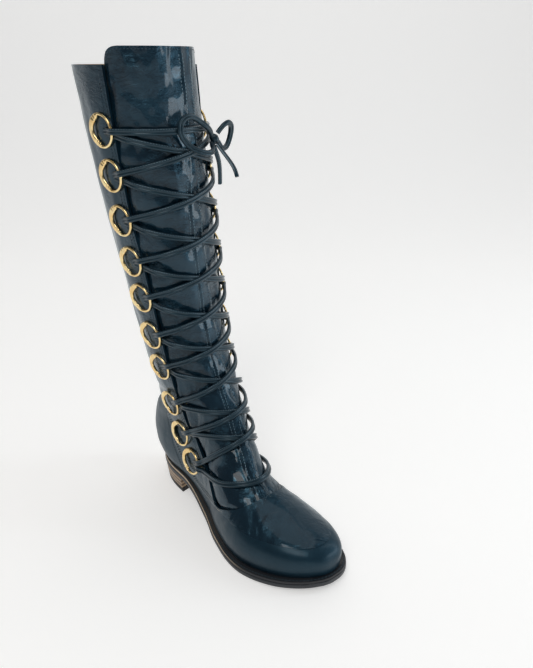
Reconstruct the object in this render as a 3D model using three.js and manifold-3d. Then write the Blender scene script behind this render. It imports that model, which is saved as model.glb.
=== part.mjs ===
// Lace-up boot for the right foot: a tall shaft of two quarters, closed in front by a full-height
// panel behind ten pairs of lacing rings, on a welted sole with a low stacked heel.
// Millimetres, +Z up, toe towards -Y, outer side of the foot towards -X.
import * as THREE from 'three';
import { mergeVertices } from 'three/addons/utils/BufferGeometryUtils.js';
import Module from 'manifold-3d';

const wasm = await Module();
wasm.setup();

// Clearance between pieces that touch
const gap = 0.3;

// Foot sizes, measured on the upper where it meets the sole
const footLength = 264;
const ballWidth = 87;
const instepRise = 100;
const sideTuck = 1.6;
const sideFullHeight = 11;
const heelOverhang = 13;
const heelBulge = 6;
const heelBulgeEnd = 0.45;

// Sole sizes
const heelRaise = 21;
const topLiftThick = 6;
const outsoleThick = 4.6;
const weltThick = 2.6;
const weltProudToe = 4.2;
const weltProudHeel = 1.4;
const weltInside = 9;
const outsoleLip = 0.8;
const insoleThick = 2.4;
const insoleEase = 1.6;
const toeSpring = 7;
const heelLength = 62;
const heelTaper = 2.5;
const breastHollow = 3;

// Shaft sizes
const wall = 2;
const shaftTop = 447;
const shaftDepth = 112;
const shaftWidth = 98;
const shaftSetBack = 13;
const leanOut = 24;
const leanStart = 90;
const twistDegrees = 9;

// Front panel sizes
const panelWall = 1.8;
const panelStand = 14;
const panelLap = 9;
const throatSkew = 10;
const bandWidth = 13;
const bandThick = 0.9;
const overlayThick = 0.8;

// Ring and lace sizes
const ringRadius = 13.6;
const wireThick = 2.4;
const clampWide = 5.4;
const clampThick = 2.9;
const laceWide = 4.6;
const laceThick = 3;
const laceSink = 0.9;
const laceClear = 0.8;
const bowCord = 3.9;
const bowReach = 40;

// Half width and centre of the foot along its length, heel to toe, as shares of the ball width
const footPlan = [
  { share: 0.00, centre: 0.000, half: 0.320 },
  { share: 0.20, centre: 0.000, half: 0.332 },
  { share: 0.34, centre: -0.022, half: 0.322 },
  { share: 0.45, centre: -0.050, half: 0.335 },
  { share: 0.56, centre: -0.072, half: 0.405 },
  { share: 0.66, centre: -0.066, half: 0.475 },
  { share: 0.74, centre: -0.040, half: 0.500 },
  { share: 0.86, centre: 0.028, half: 0.485 },
  { share: 1.00, centre: 0.110, half: 0.420 },
];
const toeCapStart = 0.70;
const toeCapPower = 2.4;
const heelCapEnd = 0.20;
const heelCapPower = 2.1;

// Ridge of the vamp: place along the foot as a share of its length, rise above the sole as a share
// of the instep rise
const vampRidge = [
  { share: 1.000, rise: 0.070 },
  { share: 0.997, rise: 0.130 },
  { share: 0.986, rise: 0.195 },
  { share: 0.960, rise: 0.262 },
  { share: 0.900, rise: 0.335 },
  { share: 0.820, rise: 0.410 },
  { share: 0.740, rise: 0.490 },
  { share: 0.670, rise: 0.580 },
  { share: 0.606, rise: 0.695 },
  { share: 0.561, rise: 0.836 },
];

// Shaft sections: height as a share of the shaft top, front edge and back edge as shares of the
// shaft depth behind the middle of the foot, half width as a share of the shaft width
const shaftRows = [
  { height: 0.234, front: -0.174, back: 0.985, half: 0.360 },
  { height: 0.266, front: -0.080, back: 0.968, half: 0.352 },
  { height: 0.307, front: 0.018, back: 0.962, half: 0.357 },
  { height: 0.360, front: 0.107, back: 0.985, half: 0.380 },
  { height: 0.420, front: 0.170, back: 1.010, half: 0.405 },
  { height: 0.480, front: 0.210, back: 1.040, half: 0.427 },
  { height: 0.620, front: 0.248, back: 1.125, half: 0.467 },
  { height: 0.800, front: 0.270, back: 1.230, half: 0.500 },
  { height: 1.000, front: 0.285, back: 1.310, half: 0.515 },
  { height: 1.070, front: 0.288, back: 1.325, half: 0.517 },
];
const shaftPower = 2.15;
const blendFrom = 62;
const blendTo = 150;

// Back of the heel cup: rise above the sole as a share of the instep rise, overhang behind the heel
// seat as a share of the heel overhang, side bulge as a share of the heel bulge
const heelBack = [
  { rise: 0.00, over: 0.12, bulge: 0.00 },
  { rise: 0.10, over: 0.48, bulge: 0.60 },
  { rise: 0.22, over: 0.86, bulge: 0.95 },
  { rise: 0.36, over: 1.00, bulge: 1.00 },
  { rise: 0.52, over: 0.84, bulge: 0.75 },
  { rise: 0.66, over: 0.42, bulge: 0.35 },
];
// Heights of the loops that the upper is lofted through, as shares of the shaft top above the sole
const loopShares = [
  -0.006, 0.008, 0.022, 0.037, 0.051, 0.064, 0.077, 0.092, 0.110, 0.132, 0.158, 0.190, 0.225,
  0.270, 0.325, 0.400, 0.500, 0.615, 0.740, 0.870, 1.040,
];
const outerPoints = 38;
const innerPoints = 32;

// Front edge of the quarters and of the vamp's apron, in side view from the collar down and over
// the vamp: place behind the middle of the foot as a share of its length, height as a share of the
// shaft top
const collarEdge = 0.315;
const throatEdge = [
  { place: 0.315, height: 1.000 },
  { place: 0.311, height: 0.909 },
  { place: 0.305, height: 0.818 },
  { place: 0.297, height: 0.727 },
  { place: 0.283, height: 0.648 },
  { place: 0.269, height: 0.557 },
  { place: 0.259, height: 0.466 },
  { place: 0.246, height: 0.380 },
  { place: 0.220, height: 0.291 },
  { place: 0.174, height: 0.227 },
  { place: 0.114, height: 0.186 },
  { place: 0.061, height: 0.150 },
  { place: 0.008, height: 0.114 },
  { place: -0.030, height: 0.094 },
  { place: -0.064, height: 0.090 },
  { place: -0.102, height: 0.099 },
  { place: -0.152, height: 0.114 },
  { place: -0.193, height: 0.130 },
  { place: -0.240, height: 0.158 },
];

// Lower edge of the quarters over counter and vamp, in side view from the back to the apron
const quarterEdge = [
  { place: 0.700, height: 0.268 },
  { place: 0.470, height: 0.268 },
  { place: 0.360, height: 0.262 },
  { place: 0.325, height: 0.225 },
  { place: 0.292, height: 0.160 },
  { place: 0.230, height: 0.114 },
  { place: 0.160, height: 0.088 },
  { place: 0.070, height: 0.077 },
  { place: -0.030, height: 0.084 },
  { place: -0.064, height: 0.089 },
];

// Middle line of the raised band: height as a share of the shaft top, side step in shares of the
// shaft width
const bandLine = [
  { height: 0.13, step: -0.095 },
  { height: 0.21, step: -0.055 },
  { height: 0.34, step: -0.010 },
  { height: 0.70, step: 0.015 },
  { height: 0.92, step: 0.110 },
  { height: 1.10, step: 0.130 },
];

// Centres of the outer rings from the collar down, in side view: place behind the middle of the foot
// as a share of its length, height as a share of the shaft top. The inner rings stand forward of
// them by the throat's skew.
const ringSpots = [
  { place: 0.356, height: 0.884 },
  { place: 0.348, height: 0.799 },
  { place: 0.339, height: 0.709 },
  { place: 0.327, height: 0.622 },
  { place: 0.312, height: 0.541 },
  { place: 0.300, height: 0.452 },
  { place: 0.288, height: 0.372 },
  { place: 0.268, height: 0.273 },
  { place: 0.229, height: 0.195 },
  { place: 0.155, height: 0.137 },
];

// Stations round a ring: turn from its front in degrees, share of the clamp's section
const ringStations = [
  { turn: 0, clamp: 0 },
  { turn: 34, clamp: 0 },
  { turn: 68, clamp: 0 },
  { turn: 100, clamp: 0 },
  { turn: 104, clamp: 1 },
  { turn: 142, clamp: 1 },
  { turn: 180, clamp: 1 },
  { turn: 218, clamp: 1 },
  { turn: 256, clamp: 1 },
  { turn: 260, clamp: 0 },
  { turn: 292, clamp: 0 },
  { turn: 326, clamp: 0 },
];

// Bow: points of each free cord from the knot's middle, as shares of the bow's reach: towards the
// inner side, towards the back, and up
const bowRoutes = {
  lace_loop_outer: [
    { side: -0.094, back: -0.056, up: 0.094 },
    { side: -0.200, back: -0.162, up: 0.200 },
    { side: -0.350, back: -0.245, up: 0.312 },
    { side: -0.475, back: -0.232, up: 0.402 },
    { side: -0.612, back: -0.232, up: 0.487 },
    { side: -0.750, back: -0.245, up: 0.532 },
    { side: -0.895, back: -0.257, up: 0.505 },
    { side: -1.000, back: -0.262, up: 0.395 },
    { side: -1.025, back: -0.270, up: 0.250 },
    { side: -0.975, back: -0.280, up: 0.102 },
    { side: -0.850, back: -0.307, up: -0.050 },
    { side: -0.700, back: -0.357, up: -0.150 },
    { side: -0.525, back: -0.382, up: -0.217 },
    { side: -0.350, back: -0.370, up: -0.232 },
    { side: -0.200, back: -0.257, up: -0.187 },
    { side: -0.106, back: -0.043, up: -0.083 },
  ],
  lace_loop_inner: [
    { side: 0.081, back: -0.029, up: 0.125 },
    { side: 0.162, back: -0.057, up: 0.225 },
    { side: 0.250, back: -0.082, up: 0.307 },
    { side: 0.362, back: -0.070, up: 0.337 },
    { side: 0.475, back: -0.007, up: 0.275 },
    { side: 0.537, back: 0.080, up: 0.137 },
    { side: 0.537, back: 0.142, up: -0.025 },
    { side: 0.462, back: 0.130, up: -0.162 },
    { side: 0.337, back: 0.067, up: -0.225 },
    { side: 0.212, back: 0.017, up: -0.200 },
    { side: 0.119, back: 0.013, up: -0.070 },
  ],
  lace_end_front: [
    { side: 0.030, back: -0.094, up: -0.116 },
    { side: 0.075, back: -0.232, up: -0.262 },
    { side: 0.107, back: -0.345, up: -0.375 },
    { side: 0.132, back: -0.445, up: -0.475 },
    { side: 0.150, back: -0.532, up: -0.575 },
    { side: 0.157, back: -0.595, up: -0.675 },
    { side: 0.162, back: -0.637, up: -0.775 },
  ],
  lace_end_back: [
    { side: 0.017, back: 0.038, up: -0.160 },
    { side: 0.100, back: 0.055, up: -0.337 },
    { side: 0.187, back: 0.105, up: -0.512 },
    { side: 0.250, back: 0.167, up: -0.700 },
    { side: 0.287, back: 0.217, up: -0.887 },
    { side: 0.300, back: 0.242, up: -1.062 },
  ],
};

const smooth = (from, to, value) => THREE.MathUtils.smoothstep(value, from, to);
const mix = THREE.MathUtils.lerp;

// A smooth curve through the rows of a table that never overshoots them
function curve(rows, key, column) {
  const xs = rows.map((row) => row[key]);
  const ys = rows.map((row) => row[column]);
  const last = xs.length - 1;
  const steps = xs.slice(1).map((x, i) => (ys[i + 1] - ys[i]) / (x - xs[i]));
  const slope = (i) => {
    if (i === 0 || i === last) {
      return steps[Math.min(i, last - 1)];
    }
    const both = steps[i - 1] * steps[i];
    return both <= 0 ? 0 : (2 * both) / (steps[i - 1] + steps[i]);
  };
  const slopes = xs.map((x, i) => slope(i));
  return (value) => {
    const x = THREE.MathUtils.clamp(value, xs[0], xs[last]);
    let i = 0;
    while (i < last - 1 && x > xs[i + 1]) {
      i += 1;
    }
    const width = xs[i + 1] - xs[i];
    const s = (x - xs[i]) / width;
    const rise = 3 * s * s - 2 * s * s * s;
    const lead = s * (1 - s) * (1 - s) * width * slopes[i];
    const tail = s * s * (1 - s) * width * slopes[i + 1];
    return ys[i] + (ys[i + 1] - ys[i]) * rise + lead - tail;
  };
}

// Foot lines
const toeY = -footLength / 2;
const heelY = footLength / 2;
const shareAt = (y) => THREE.MathUtils.clamp((heelY - y) / footLength, 0, 1);
const planCentre = curve(footPlan, 'share', 'centre');
const planHalf = curve(footPlan, 'share', 'half');
const roundEnd = (amount, power) => (1 - Math.min(1, Math.max(0, amount)) ** power) ** (1 / power);
const toeCap = (share) => roundEnd((share - toeCapStart) / (1 - toeCapStart), toeCapPower);
const heelCap = (share) => roundEnd((heelCapEnd - share) / heelCapEnd, heelCapPower);

// Left and right edge of the foot's outline at y, stood off by different amounts at toe and heel
function outline(y, outToe, outHeel) {
  const long = footLength + outToe + outHeel;
  const share = THREE.MathUtils.clamp((heelY + outHeel - y) / long, 0, 1);
  const out = mix(outHeel, outToe, smooth(0.22, 0.5, share));
  const half = (planHalf(share) * ballWidth + out) * toeCap(share) * heelCap(share);
  const centre = planCentre(share) * ballWidth;
  return { left: centre - half, right: centre + half };
}

// Underside of the outsole: flat under heel and ball, with arch and toe spring between and beyond
const archEnd = 0.58;
const archStart = 0.26;
const springStart = 0.74;
const springPower = 1.8;
function soleLine(y) {
  const share = shareAt(y);
  const arch = heelRaise * (1 - smooth(archStart, archEnd, share));
  const spring = Math.max(0, (share - springStart) / (1 - springStart));
  return arch + toeSpring * spring ** springPower;
}
const outsoleTop = (y) => soleLine(y) + outsoleThick;
const weltTop = (y) => outsoleTop(y) + gap + weltThick;
const seat = (y) => weltTop(y) + gap;

// Front and back profile of the upper against height
const ridgeRows = vampRidge.map((row) => {
  const y = heelY - row.share * footLength;
  return { z: seat(y) + row.rise * instepRise, front: y };
});
const shinRows = shaftRows.map((row) => {
  return { z: row.height * shaftTop, front: row.front * shaftDepth + shaftSetBack };
});
const frontAt = curve([...ridgeRows, ...shinRows], 'z', 'front');
const heelRows = heelBack.map((row) => {
  return { z: seat(heelY) + row.rise * instepRise, back: heelY + row.over * heelOverhang };
});
const calfRows = shaftRows.map((row) => {
  return { z: row.height * shaftTop, back: row.back * shaftDepth + shaftSetBack };
});
const backAt = curve([...heelRows, ...calfRows], 'z', 'back');
const shaftHalf = curve(shaftRows, 'height', 'half');
const sideBulge = curve(heelBack, 'rise', 'bulge');

// Height of the front profile above a place along the foot
function ridgeAt(y) {
  let low = ridgeRows[0].z;
  let high = shaftTop;
  for (let i = 0; i < 30; i += 1) {
    const middle = (low + high) / 2;
    if (frontAt(middle) < y) {
      low = middle;
    } else {
      high = middle;
    }
  }
  return low;
}

// Height of a loop at y: low loops follow the sole, high ones lie level
const levelFrom = 8;
const levelTo = 78;
function loopHeight(rise, y) {
  const follow = 1 - smooth(levelFrom, levelTo, rise);
  return rise + mix(seat(toeY + footLength * 0.35), seat(y), follow);
}

// Lowest y that a loop reaches, where it meets the front profile
function loopFront(rise) {
  let low = toeY;
  let high = heelY;
  for (let i = 0; i < 30; i += 1) {
    const middle = (low + high) / 2;
    if (frontAt(loopHeight(rise, middle)) > middle) {
      low = middle;
    } else {
      high = middle;
    }
  }
  return low;
}

// Roundness of the vamp's cross section
const vampPowerToe = 2.5;
const vampPowerInstep = 1.9;

// Left and right edge of the upper at y on the loop of a given rise
function footEdges(y, z, back) {
  const share = shareAt(y);
  const full = seat(y) + sideFullHeight;
  const power = mix(vampPowerInstep, vampPowerToe, smooth(0.6, 0.95, share));
  const top = Math.max(ridgeAt(y), full + 1);
  const dome = roundEnd((z - full) / (top - full), power);
  const tuck = sideTuck * Math.max(0, (full - z) / sideFullHeight) ** 2;
  const heelDepth = heelCapEnd * footLength;
  const behind = roundEnd((y - (back - heelDepth)) / heelDepth, heelCapPower);
  const centre = planCentre(share) * ballWidth;
  const rear = 1 - smooth(0, heelBulgeEnd, share);
  const swell = heelBulge * sideBulge((z - seat(y)) / instepRise) * rear;
  const straight = planHalf(share) * ballWidth * toeCap(share);
  const half = Math.max(0, straight + swell - tuck) * behind * dome;
  return { left: centre - half, right: centre + half };
}

function shaftEdges(y, z, front, back) {
  const place = (2 * (y - front)) / (back - front) - 1;
  const half = shaftHalf(z / shaftTop) * shaftWidth * roundEnd(Math.abs(place), shaftPower);
  return { left: -half, right: half };
}

// Outer and inner point of a loop at a place between its front and back
function loopPair(rise, y, front, back) {
  const z = loopHeight(rise, y);
  const blend = smooth(blendFrom, blendTo, z);
  const foot = footEdges(y, z, back);
  const shaft = shaftEdges(y, z, front, back);
  return [
    new THREE.Vector3(mix(foot.left, shaft.left, blend), y, z),
    new THREE.Vector3(mix(foot.right, shaft.right, blend), y, z),
  ];
}
const loopBack = (rise) => backAt(loopHeight(rise, heelY));

// One closed loop: from the front point down the outer side to the back, and up the inner side
function upperLoop(rise, count) {
  const front = loopFront(rise);
  const back = loopBack(rise);
  const outer = [];
  const inner = [];
  const half = count / 2;
  for (let i = 0; i <= half; i += 1) {
    const y = mix(front, back, (1 - Math.cos((Math.PI * i) / half)) / 2);
    const pair = loopPair(rise, y, front, back);
    outer.push(pair[0]);
    inner.push(pair[1]);
  }
  for (const i of [0, half]) {
    outer[i].x = (outer[i].x + inner[i].x) / 2;
  }
  return [...outer, ...inner.slice(1, half).reverse()];
}

// The shaft leans outwards and turns inwards as it rises
function lean(point) {
  const up = Math.max(0, point.z - leanStart) / (shaftTop - leanStart);
  const turn = THREE.MathUtils.degToRad(twistDegrees) * smooth(leanStart * 0.6, leanStart * 2, point.z);
  const pivotY = shaftDepth * 0.6;
  const away = point.y - pivotY;
  const x = point.x * Math.cos(turn) - away * Math.sin(turn);
  const y = pivotY + point.x * Math.sin(turn) + away * Math.cos(turn);
  return new THREE.Vector3(x - leanOut * up, y, point.z);
}

// The upper's form stood off by a distance along its own normals
function skin(out, count, shares = loopShares) {
  const loops = shares.map((share) => upperLoop(share * shaftTop, count));
  const last = loops.length - 1;
  return loops.map((loop, row) => loop.map((point, i) => {
    const along = loop[(i + 1) % count].clone().sub(loop[(i + count - 1) % count]);
    const up = loops[Math.min(row + 1, last)][i].clone().sub(loops[Math.max(row - 1, 0)][i]);
    const normal = up.cross(along).normalize();
    if (row === 0 || row === last) {
      normal.z = 0;
      normal.normalize();
    }
    return point.clone().addScaledVector(normal, out);
  }));
}

// A closed body through loops of equal count, capped at both ends
function loft(loops) {
  const count = loops[0].length;
  const points = loops.flat().flatMap((point) => [point.x, point.y, point.z]);
  const faces = [];
  for (let row = 0; row < loops.length - 1; row += 1) {
    const upper = (row + 1) * count;
    for (let i = 0; i < count; i += 1) {
      const a = row * count + i;
      const b = row * count + ((i + 1) % count);
      const c = upper + ((i + 1) % count);
      const d = upper + i;
      faces.push(a, b, c, a, c, d);
    }
  }
  for (const [row, flip] of [[0, true], [loops.length - 1, false]]) {
    const middle = loops[row].reduce((sum, point) => sum.add(point), new THREE.Vector3());
    middle.divideScalar(count);
    const centre = points.length / 3;
    points.push(middle.x, middle.y, middle.z);
    for (let i = 0; i < count; i += 1) {
      const a = row * count + i;
      const b = row * count + ((i + 1) % count);
      faces.push(...(flip ? [centre, b, a] : [centre, a, b]));
    }
  }
  return solid(points, faces);
}

// A manifold body from positions and faces, turned outwards
function solid(points, faces) {
  const geometry = new THREE.BufferGeometry();
  geometry.setAttribute('position', new THREE.Float32BufferAttribute(points, 3));
  geometry.setIndex(faces);
  const merged = mergeVertices(geometry, 1e-4);
  const index = Array.from(merged.index.array);
  const kept = [];
  for (let i = 0; i < index.length; i += 3) {
    const [a, b, c] = index.slice(i, i + 3);
    if (a !== b && b !== c && c !== a) {
      kept.push(a, b, c);
    }
  }
  const position = merged.attributes.position.array;
  const corner = (i) => new THREE.Vector3().fromArray(position, kept[i] * 3);
  let volume = 0;
  for (let i = 0; i < kept.length; i += 3) {
    volume += corner(i).dot(corner(i + 1).cross(corner(i + 2)));
  }
  if (volume < 0) {
    kept.reverse();
  }
  const vertProperties = new Float32Array(position);
  const triVerts = new Uint32Array(kept);
  return new wasm.Manifold(new wasm.Mesh({ numProp: 3, vertProperties, triVerts }));
}

// A three.js geometry as a manifold body
function body(geometry) {
  const plain = geometry.clone();
  plain.deleteAttribute('normal');
  plain.deleteAttribute('uv');
  const merged = mergeVertices(plain, 1e-4);
  return solid(Array.from(merged.attributes.position.array), Array.from(merged.index.array));
}

const boot = new THREE.Group();

function addPiece(name, manifold, material, place = lean) {
  const mesh = manifold.getMesh();
  const points = [];
  for (let i = 0; i < mesh.vertProperties.length; i += 3) {
    points.push(...place(new THREE.Vector3().fromArray(mesh.vertProperties, i)));
  }
  const geometry = new THREE.BufferGeometry();
  geometry.setAttribute('position', new THREE.Float32BufferAttribute(points, 3));
  geometry.setIndex(Array.from(mesh.triVerts));
  geometry.computeVertexNormals();
  const piece = new THREE.Mesh(geometry, material);
  piece.name = name;
  boot.add(piece);
  return piece;
}

const finish = (color, roughness, metalness = 0) => {
  return new THREE.MeshStandardMaterial({ color, roughness, metalness });
};
const patent = finish(0x10161c, 0.25);
const soleLeather = finish(0x14161a, 0.5);
const weltLeather = finish(0x4b4036, 0.6);
const stack = finish(0x8a6f52, 0.55);
const rubber = finish(0x101010, 0.8);
const board = finish(0xc9b190, 0.8);
const gold = finish(0xe0b56a, 0.25, 1);
const laceLeather = finish(0x12181e, 0.35);

// Sole pieces
const soleStations = 28;

function slab(bottom, top, outToe, outHeel, lip = 0) {
  const loops = [];
  const from = heelY + outHeel;
  const to = toeY - outToe;
  for (let i = 0; i <= soleStations; i += 1) {
    const nearEnd = 0.0008;
    const turn = (1 - Math.cos((Math.PI * i) / soleStations)) / 2;
    const y = mix(from, to, mix(nearEnd, 1 - nearEnd, turn));
    const edge = outline(y, outToe, outHeel);
    const low = bottom(y);
    const high = top(y);
    const corner = (x, z) => new THREE.Vector3(x, y, z);
    const square = [
      corner(edge.left, low),
      corner(edge.left, high),
      corner(edge.right, high),
      corner(edge.right, low),
    ];
    const eased = [
      corner(edge.left + lip, low),
      corner(edge.left, low + lip),
      corner(edge.left, high - lip),
      corner(edge.left + lip, high),
      corner(edge.right - lip, high),
      corner(edge.right, high - lip),
      corner(edge.right, low + lip),
      corner(edge.right - lip, low),
    ];
    loops.push(lip > 0 ? eased : square);
  }
  return loft(loops);
}

const outsole = slab(soleLine, outsoleTop, weltProudToe + 0.4, weltProudHeel + 0.4, outsoleLip);
addPiece('outsole', outsole, soleLeather);

const weltOuter = slab((y) => outsoleTop(y) + gap, weltTop, weltProudToe, weltProudHeel);
const weltInner = slab((y) => outsoleTop(y) - 1, (y) => weltTop(y) + 1, -weltInside, -weltInside);
addPiece('welt', weltOuter.subtract(weltInner), weltLeather);

const insoleInset = wall + sideTuck + insoleEase;
const insole = slab(seat, (y) => seat(y) + insoleThick, -insoleInset, -insoleInset);
addPiece('insole', insole, board);

// Heel outline at a height: the outsole's own outline behind the breast, tapered towards the floor
function heelLoop(z, top) {
  const taper = heelTaper * (1 - z / top);
  const points = 12;
  const out = weltProudHeel - taper;
  const breastY = heelY + weltProudHeel - heelLength;
  const left = [];
  const right = [];
  for (let i = 0; i <= points; i += 1) {
    const y = mix(breastY, heelY + out, Math.sin((Math.PI / 2) * (i / points)) * 0.997);
    const edge = outline(y, out, out);
    left.push(new THREE.Vector3(edge.left, y, z));
    right.push(new THREE.Vector3(edge.right, y, z));
  }
  const hollow = [];
  const arcs = 4;
  for (let i = 1; i < arcs; i += 1) {
    const across = i / arcs;
    const x = mix(right[0].x, left[0].x, across);
    const y = breastY + breastHollow * Math.sin(Math.PI * across);
    hollow.push(new THREE.Vector3(x, y, z));
  }
  return [...left, ...right.reverse(), ...hollow];
}
const heelLevels = (from, to) => [from, (from + to) / 2, to].map((z) => heelLoop(z, heelRaise));
addPiece('heel', loft(heelLevels(topLiftThick + gap, heelRaise - gap)), stack);
addPiece('top_lift', loft(heelLevels(0, topLiftThick)), rubber);

// Points of a side-view line, shifted towards the back and below by a distance
function sideLine(rows, shift, skew) {
  const points = rows.map((row) => {
    const z = row.height * shaftTop;
    const y = row.place * footLength - skew * smooth(blendFrom, blendTo, z);
    return new THREE.Vector2(y, z);
  });
  return points.map((point, i) => {
    const next = points[Math.min(i + 1, points.length - 1)];
    const previous = points[Math.max(i - 1, 0)];
    const along = next.clone().sub(previous).normalize();
    return new THREE.Vector2(point.x - along.y * shift, point.y + along.x * shift);
  });
}

// A side-view outline drawn out sideways between two places across the boot
function sidePrism(outline2d, from, to) {
  const geometry = new THREE.ExtrudeGeometry(new THREE.Shape(outline2d), {
    depth: to - from,
    bevelEnabled: false,
  });
  const axes = new THREE.Matrix4().makeBasis(
    new THREE.Vector3(0, 1, 0),
    new THREE.Vector3(0, 0, 1),
    new THREE.Vector3(1, 0, 0),
  );
  geometry.applyMatrix4(axes);
  geometry.translate(from, 0, 0);
  return body(geometry);
}

const farSide = 200;
const farFront = -300;

// What lies in front of the throat edge, grown by a lap below the collar, with rounded top corners
function throatBlock(lap, top, corner) {
  const halves = [[-farSide, 0, 0], [0, farSide, throatSkew]].map(([from, to, skew]) => {
    const edge = sideLine(throatEdge, lap, skew).filter((point) => point.y < shaftTop - lap - 1);
    const collarY = collarEdge * footLength - skew;
    const end = edge[edge.length - 1];
    const steps = corner > 0 ? 5 : 0;
    const turn = [];
    for (let i = 0; i <= steps; i += 1) {
      const angle = steps > 0 ? (Math.PI / 2) * (1 - i / steps) : 0;
      const y = collarY - corner * (1 - Math.cos(angle));
      turn.push(new THREE.Vector2(y, top - corner * (1 - Math.sin(angle))));
    }
    const foot = new THREE.Vector2(farFront, end.y);
    const head = new THREE.Vector2(farFront, top);
    return sidePrism([...edge, foot, head, ...turn], from, to);
  });
  return halves[0].add(halves[1]);
}

// Upper: one hollow wall, open underneath, at the collar and at the throat
function hollow(outer, wallThick, points) {
  const outerLoops = skin(outer, points);
  const innerLoops = skin(outer - wallThick, innerPoints);
  const drop = (loop, step) => loop.map((point) => new THREE.Vector3(point.x, point.y, point.z + step));
  const last = innerLoops.length - 1;
  const cavity = [drop(innerLoops[0], -3), ...innerLoops, drop(innerLoops[last], 3)];
  return loft(outerLoops).subtract(loft(cavity));
}

function box(x0, x1, y0, y1, z0, z1) {
  const geometry = new THREE.BoxGeometry(x1 - x0, y1 - y0, z1 - z0);
  geometry.translate((x0 + x1) / 2, (y0 + y1) / 2, (z0 + z1) / 2);
  return body(geometry);
}

const aboveCollar = box(-farSide, farSide, -farSide, farSide, shaftTop, shaftTop * 1.3);
const throat = throatBlock(0, shaftTop * 1.15, 0);
const quarterFloor = sideLine(quarterEdge, 0, 0);
const quarterArea = sidePrism([
  new THREE.Vector2(-farSide, shaftTop * 1.3),
  ...[...quarterFloor].reverse(),
  new THREE.Vector2(farSide, shaftTop * 1.3),
].reverse(), -farSide, farSide);
const quarterLayer = loft(skin(overlayThick, outerPoints)).subtract(loft(skin(-0.5, outerPoints)));
const quarters = quarterLayer.intersect(quarterArea);
const upperFoot = (y) => weltTop(y) + gap * 1.6;
const soleBlock = slab(() => -heelRaise, upperFoot, weltInside * 2, weltInside * 2);
const upper = hollow(0, wall, outerPoints).add(quarters).subtract(throat).subtract(aboveCollar).subtract(soleBlock);
addPiece('upper', upper, patent);

// Front panel: its own wall inside the upper's, with a raised band down its middle
const panelOut = -(wall + gap);
const panelBlock = throatBlock(panelLap, shaftTop + panelStand, panelStand);

function bandBlock() {
  const middle = curve(bandLine, 'height', 'step');
  const left = [];
  const right = [];
  const rows = 12;
  for (let i = 0; i <= rows; i += 1) {
    const height = mix(bandLine[0].height, bandLine[bandLine.length - 1].height, i / rows);
    const x = middle(height) * shaftWidth;
    left.push(new THREE.Vector2(x - bandWidth / 2, height * shaftTop));
    right.push(new THREE.Vector2(x + bandWidth / 2, height * shaftTop));
  }
  const geometry = new THREE.ExtrudeGeometry(new THREE.Shape([...right, ...left.reverse()]), {
    depth: -farFront + collarEdge * footLength,
    bevelEnabled: false,
  });
  geometry.rotateX(Math.PI / 2);
  geometry.translate(0, collarEdge * footLength, 0);
  return body(geometry);
}

const bandLayer = loft(skin(panelOut + bandThick, innerPoints)).subtract(
  loft(skin(panelOut - panelWall / 2, innerPoints)),
);
const openThroat = throatBlock(-gap * 2, shaftTop + panelStand, panelStand);
const band = bandLayer.intersect(bandBlock()).intersect(openThroat);
const panelShell = hollow(panelOut, panelWall, innerPoints).add(band);
addPiece('front_panel', panelShell.intersect(panelBlock).subtract(soleBlock), patent);

// A place on the upper: distance round the front of a loop, towards the inner side where positive,
// and distance off the surface, with the surface's own axes there
const traceSteps = 40;
function trace(rise) {
  const front = loopFront(rise);
  const back = loopBack(rise);
  const sides = [[], []];
  for (let i = 0; i <= traceSteps; i += 1) {
    const y = mix(front, mix(front, back, 0.75), (i / traceSteps) ** 2);
    loopPair(rise, y, front, back).forEach((point, side) => sides[side].push(point));
  }
  const middleX = (sides[0][0].x + sides[1][0].x) / 2;
  sides.forEach((side) => {
    side[0].x = middleX;
  });
  return sides;
}

function along(side, far) {
  let left = far;
  for (let i = 1; i < side.length; i += 1) {
    const step = side[i].distanceTo(side[i - 1]);
    if (left <= step || i === side.length - 1) {
      return side[i - 1].clone().lerp(side[i], left / step);
    }
    left -= step;
  }
  return side[0].clone();
}
const placeOn = (rise, round) => along(trace(rise)[round < 0 ? 0 : 1], Math.abs(round));

function frameAt(rise, round) {
  const step = 2;
  const at = placeOn(rise, round);
  const across = placeOn(rise, round + step).sub(placeOn(rise, round - step)).normalize();
  const above = placeOn(rise + step, round);
  const below = placeOn(rise - step, round);
  const up = above.sub(below);
  const out = across.clone().cross(up).normalize();
  return { at, out, across, up: out.clone().cross(across).normalize() };
}

// Distance round a loop from its front to a place along the foot
function roundTo(rise, y, side) {
  const points = trace(rise)[side < 0 ? 0 : 1];
  let far = 0;
  for (let i = 1; i < points.length && points[i - 1].y < y; i += 1) {
    const share = Math.min(1, (y - points[i - 1].y) / (points[i].y - points[i - 1].y));
    far += share * points[i].distanceTo(points[i - 1]);
  }
  return far * side;
}

// Rise and distance round of a side-view place
function spotOn(y, z, side) {
  let low = 0;
  let high = shaftTop;
  for (let i = 0; i < 30; i += 1) {
    const middle = (low + high) / 2;
    if (loopHeight(middle, y) < z) {
      low = middle;
    } else {
      high = middle;
    }
  }
  return { rise: low, round: roundTo(low, y, side), y };
}

// Rings: a wire loop that widens into a flat clamp at its rear, one body each
const ringSpotOf = (row, side) => {
  const z = ringSpots[row].height * shaftTop;
  const skew = side > 0 ? throatSkew * smooth(blendFrom, blendTo, z) : 0;
  return spotOn(ringSpots[row].place * footLength - skew, z, side);
};
const ringSection = [-2, -1, 0, 1, 2].map((i) => THREE.MathUtils.degToRad(72 * i + 90));

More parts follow.
